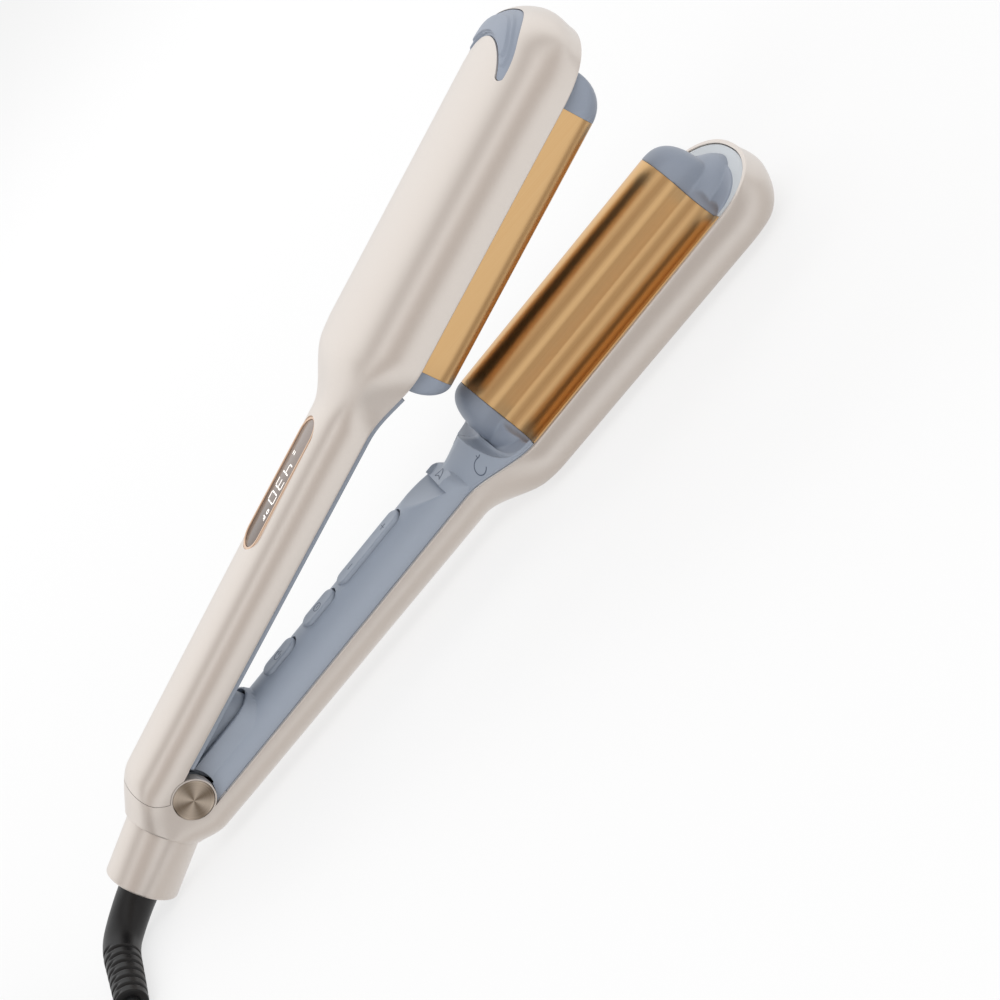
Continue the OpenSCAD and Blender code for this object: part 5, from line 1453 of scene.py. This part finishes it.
# ---- Studio ----
@dataclass
class Studio:
    """Camera at the photograph's place, pale floor, two long soft lamps and a world of soft bands."""

    eye: tuple = (0.063867, -0.86298, 0.417192)
    right: tuple = (0.64746, -0.30362, -0.69901)
    up: tuple = (0.76080, 0.31118, 0.56952)
    back: tuple = (0.04460, -0.90054, 0.43247)
    lens: float = 99.07
    aim: tuple = (0, 0, 0.05)
    floor_half: float = 4.0
    # how white the floor is to the camera, the rest being its shadow, and the stretch of Y that its bands cover
    floor_white: float = 0.72
    band_y: tuple[float, float] = (-0.20, 0.05)
    world_light: float = 0.80
    lamps: tuple = (
        # name, place, size along X, size across, watts
        ("far_strip", (0.0, 0.80, 0.62), 1.5, 0.36, 4.0),
        ("near_strip", (0.05, -0.60, 0.85), 1.5, 0.40, 4.0),
    )
    # what gloss sees: from the far horizon over the top to the near horizon, and the floor from near to far
    sky: tuple = ((0.0, "f0f0f0"), (0.10, "ffffff"), (0.34, "ffffff"), (0.44, "e6e4e2"), (0.53, "aba39e"),
                  (0.62, "cbc7c4"), (0.69, "f8f8f8"), (0.75, "cbc4bf"), (0.82, "b0a59d"), (0.93, "b3aaa3"),
                  (0.985, "efefef"), (1.0, "f3f3f3"))
    ground: tuple = ((0.0, "f3f3f3"), (0.34, "eeeeee"), (0.44, "a9a29d"), (0.58, "aca5a0"), (0.64, "ececec"),
                     (0.70, "cfcac6"), (0.80, "f0f0f0"), (1.0, "f3f3f3"))

    @staticmethod
    def placement(x: Sequence[float], y: Sequence[float], z: Sequence[float], place: Sequence[float]) -> Matrix:
        """Matrix of an object from its three axes and its place."""
        m = np.eye(4)
        m[:3, 0], m[:3, 1], m[:3, 2], m[:3, 3] = x, y, z, place
        return Matrix(m.tolist())

    def camera(self) -> None:
        """Places the camera by its axes."""
        data = bpy.data.cameras.new("camera")
        data.lens, data.sensor_width, data.clip_end = self.lens, 36, 20
        cam = linked("camera", data)
        cam.matrix_world = self.placement(self.right, self.up, self.back, self.eye)
        bpy.context.scene.camera = cam

    def bands(self, tree: bpy.types.NodeTree, fac: bpy.types.NodeSocket, stops: tuple) -> bpy.types.NodeSocket:
        """A smooth ramp of colours; the first stop lies at 0 and the last at 1."""
        ramp = add(tree, "ShaderNodeValToRGB", {"Fac": fac})
        ramp.color_ramp.interpolation = "EASE"
        marks = ramp.color_ramp.elements
        marks[0].color, marks[-1].color = linear(stops[0][1]), linear(stops[-1][1])
        for place, code in stops[1:-1]:
            marks.new(place).color = linear(code)
        return ramp.outputs[0]

    def floor(self) -> None:
        """A wide pale floor: near white with a soft shadow to the camera, and soft bands to gloss."""
        h = self.floor_half
        skin = sheet_of(np.array([[(-h, -h, 0.0), (h, -h, 0.0)], [(-h, h, 0.0), (h, h, 0.0)]]))
        mesh = bpy.data.meshes.new("floor")
        mesh.from_pydata(skin.points.tolist(), [], skin.faces)
        obj = linked("floor", mesh)
        made = bpy.data.materials.new("paper_white_floor")
        tree = bare_tree(made)
        ray = add(tree, "ShaderNodeLightPath")
        matt = add(tree, "ShaderNodeBsdfDiffuse", {"Color": linear("e6e6e6")})
        white = add(tree, "ShaderNodeEmission", {"Color": (1, 1, 1, 1), "Strength": 1.0})
        seen = add(tree, "ShaderNodeMath", {0: ray.outputs["Is Camera Ray"], 1: self.floor_white},
                   operation="MULTIPLY")
        both = add(tree, "ShaderNodeMixShader", {0: seen.outputs[0], 1: matt.outputs[0], 2: white.outputs[0]})
        split = add(tree, "ShaderNodeSeparateXYZ", {0: add(tree, "ShaderNodeTexCoord").outputs["Object"]})
        share = add(tree, "ShaderNodeMapRange", {"Value": split.outputs[1], "From Min": self.band_y[0],
                    "From Max": self.band_y[1]})
        glow = add(tree, "ShaderNodeEmission", {"Color": self.bands(tree, share.outputs[0], self.ground)})
        every = add(tree, "ShaderNodeMixShader", {0: ray.outputs["Is Glossy Ray"], 1: both.outputs[0],
                    2: glow.outputs[0]})
        add(tree, "ShaderNodeOutputMaterial", {"Surface": every.outputs[0]})
        mesh.materials.append(made)

    def world(self) -> None:
        """White to the camera, plain grey to matt surfaces, and to gloss a studio of soft bands along the object."""
        world = bpy.data.worlds.new("studio")
        bpy.context.scene.world = world
        tree = bare_tree(world)
        ray = add(tree, "ShaderNodeLightPath")
        split = add(tree, "ShaderNodeSeparateXYZ", {0: add(tree, "ShaderNodeTexCoord").outputs["Generated"]})
        turn = add(tree, "ShaderNodeMath", {0: split.outputs[2], 1: split.outputs[1]}, operation="ARCTAN2")
        share = add(tree, "ShaderNodeMath", {0: turn.outputs[0], 1: math.pi}, operation="DIVIDE")
        gloss = add(tree, "ShaderNodeMath", {0: ray.outputs["Is Glossy Ray"], 1: ray.outputs["Is Transmission Ray"]},
                    operation="MAXIMUM")
        grey = (self.world_light, self.world_light, self.world_light, 1.0)
        sky = self.bands(tree, share.outputs[0], self.sky)
        plain = add(tree, "ShaderNodeMix", {0: gloss.outputs[0], 6: grey, 7: sky}, data_type="RGBA")
        seen = add(tree, "ShaderNodeMix", {0: ray.outputs["Is Camera Ray"], 6: plain.outputs[2], 7: (1, 1, 1, 1)},
                   data_type="RGBA")
        back = add(tree, "ShaderNodeBackground", {"Color": seen.outputs[2], "Strength": 1.0})
        add(tree, "ShaderNodeOutputWorld", {"Surface": back.outputs[0]})

    def light(self) -> None:
        """Long soft lamps aimed at the middle of the object."""
        for name, place, long, wide, watts in self.lamps:
            data = bpy.data.lights.new(name, "AREA")
            data.shape, data.size, data.size_y, data.energy = "RECTANGLE", long, wide, watts
            obj = linked(name, data)
            z = np.array(place) - self.aim
            z /= np.linalg.norm(z)
            x = np.array([1.0, 0, 0]) - z[0] * z
            x /= np.linalg.norm(x)
            obj.matrix_world = self.placement(x, np.cross(z, x), z, place)
            # the bands stand in for the lamps in gloss
            obj.visible_glossy = False

    def build(self) -> None:
        """Sets the stage."""
        self.camera()
        self.floor()
        self.world()
        self.light()
        bpy.context.scene.view_settings.view_transform = "Standard"


def main() -> None:
    """Builds the object in order and reports each piece."""
    logging.basicConfig(level=logging.INFO, format="%(message)s")
    Studio().build()
    Cord().build()
    details = TopDetails()
    Shells().build(details.slots())
    Covers().build()
    Barrels().build()
    Controls().build()
    details.build()
    Hinge().build()
    dress_inner_works()


if __name__ == "__main__":
    main()
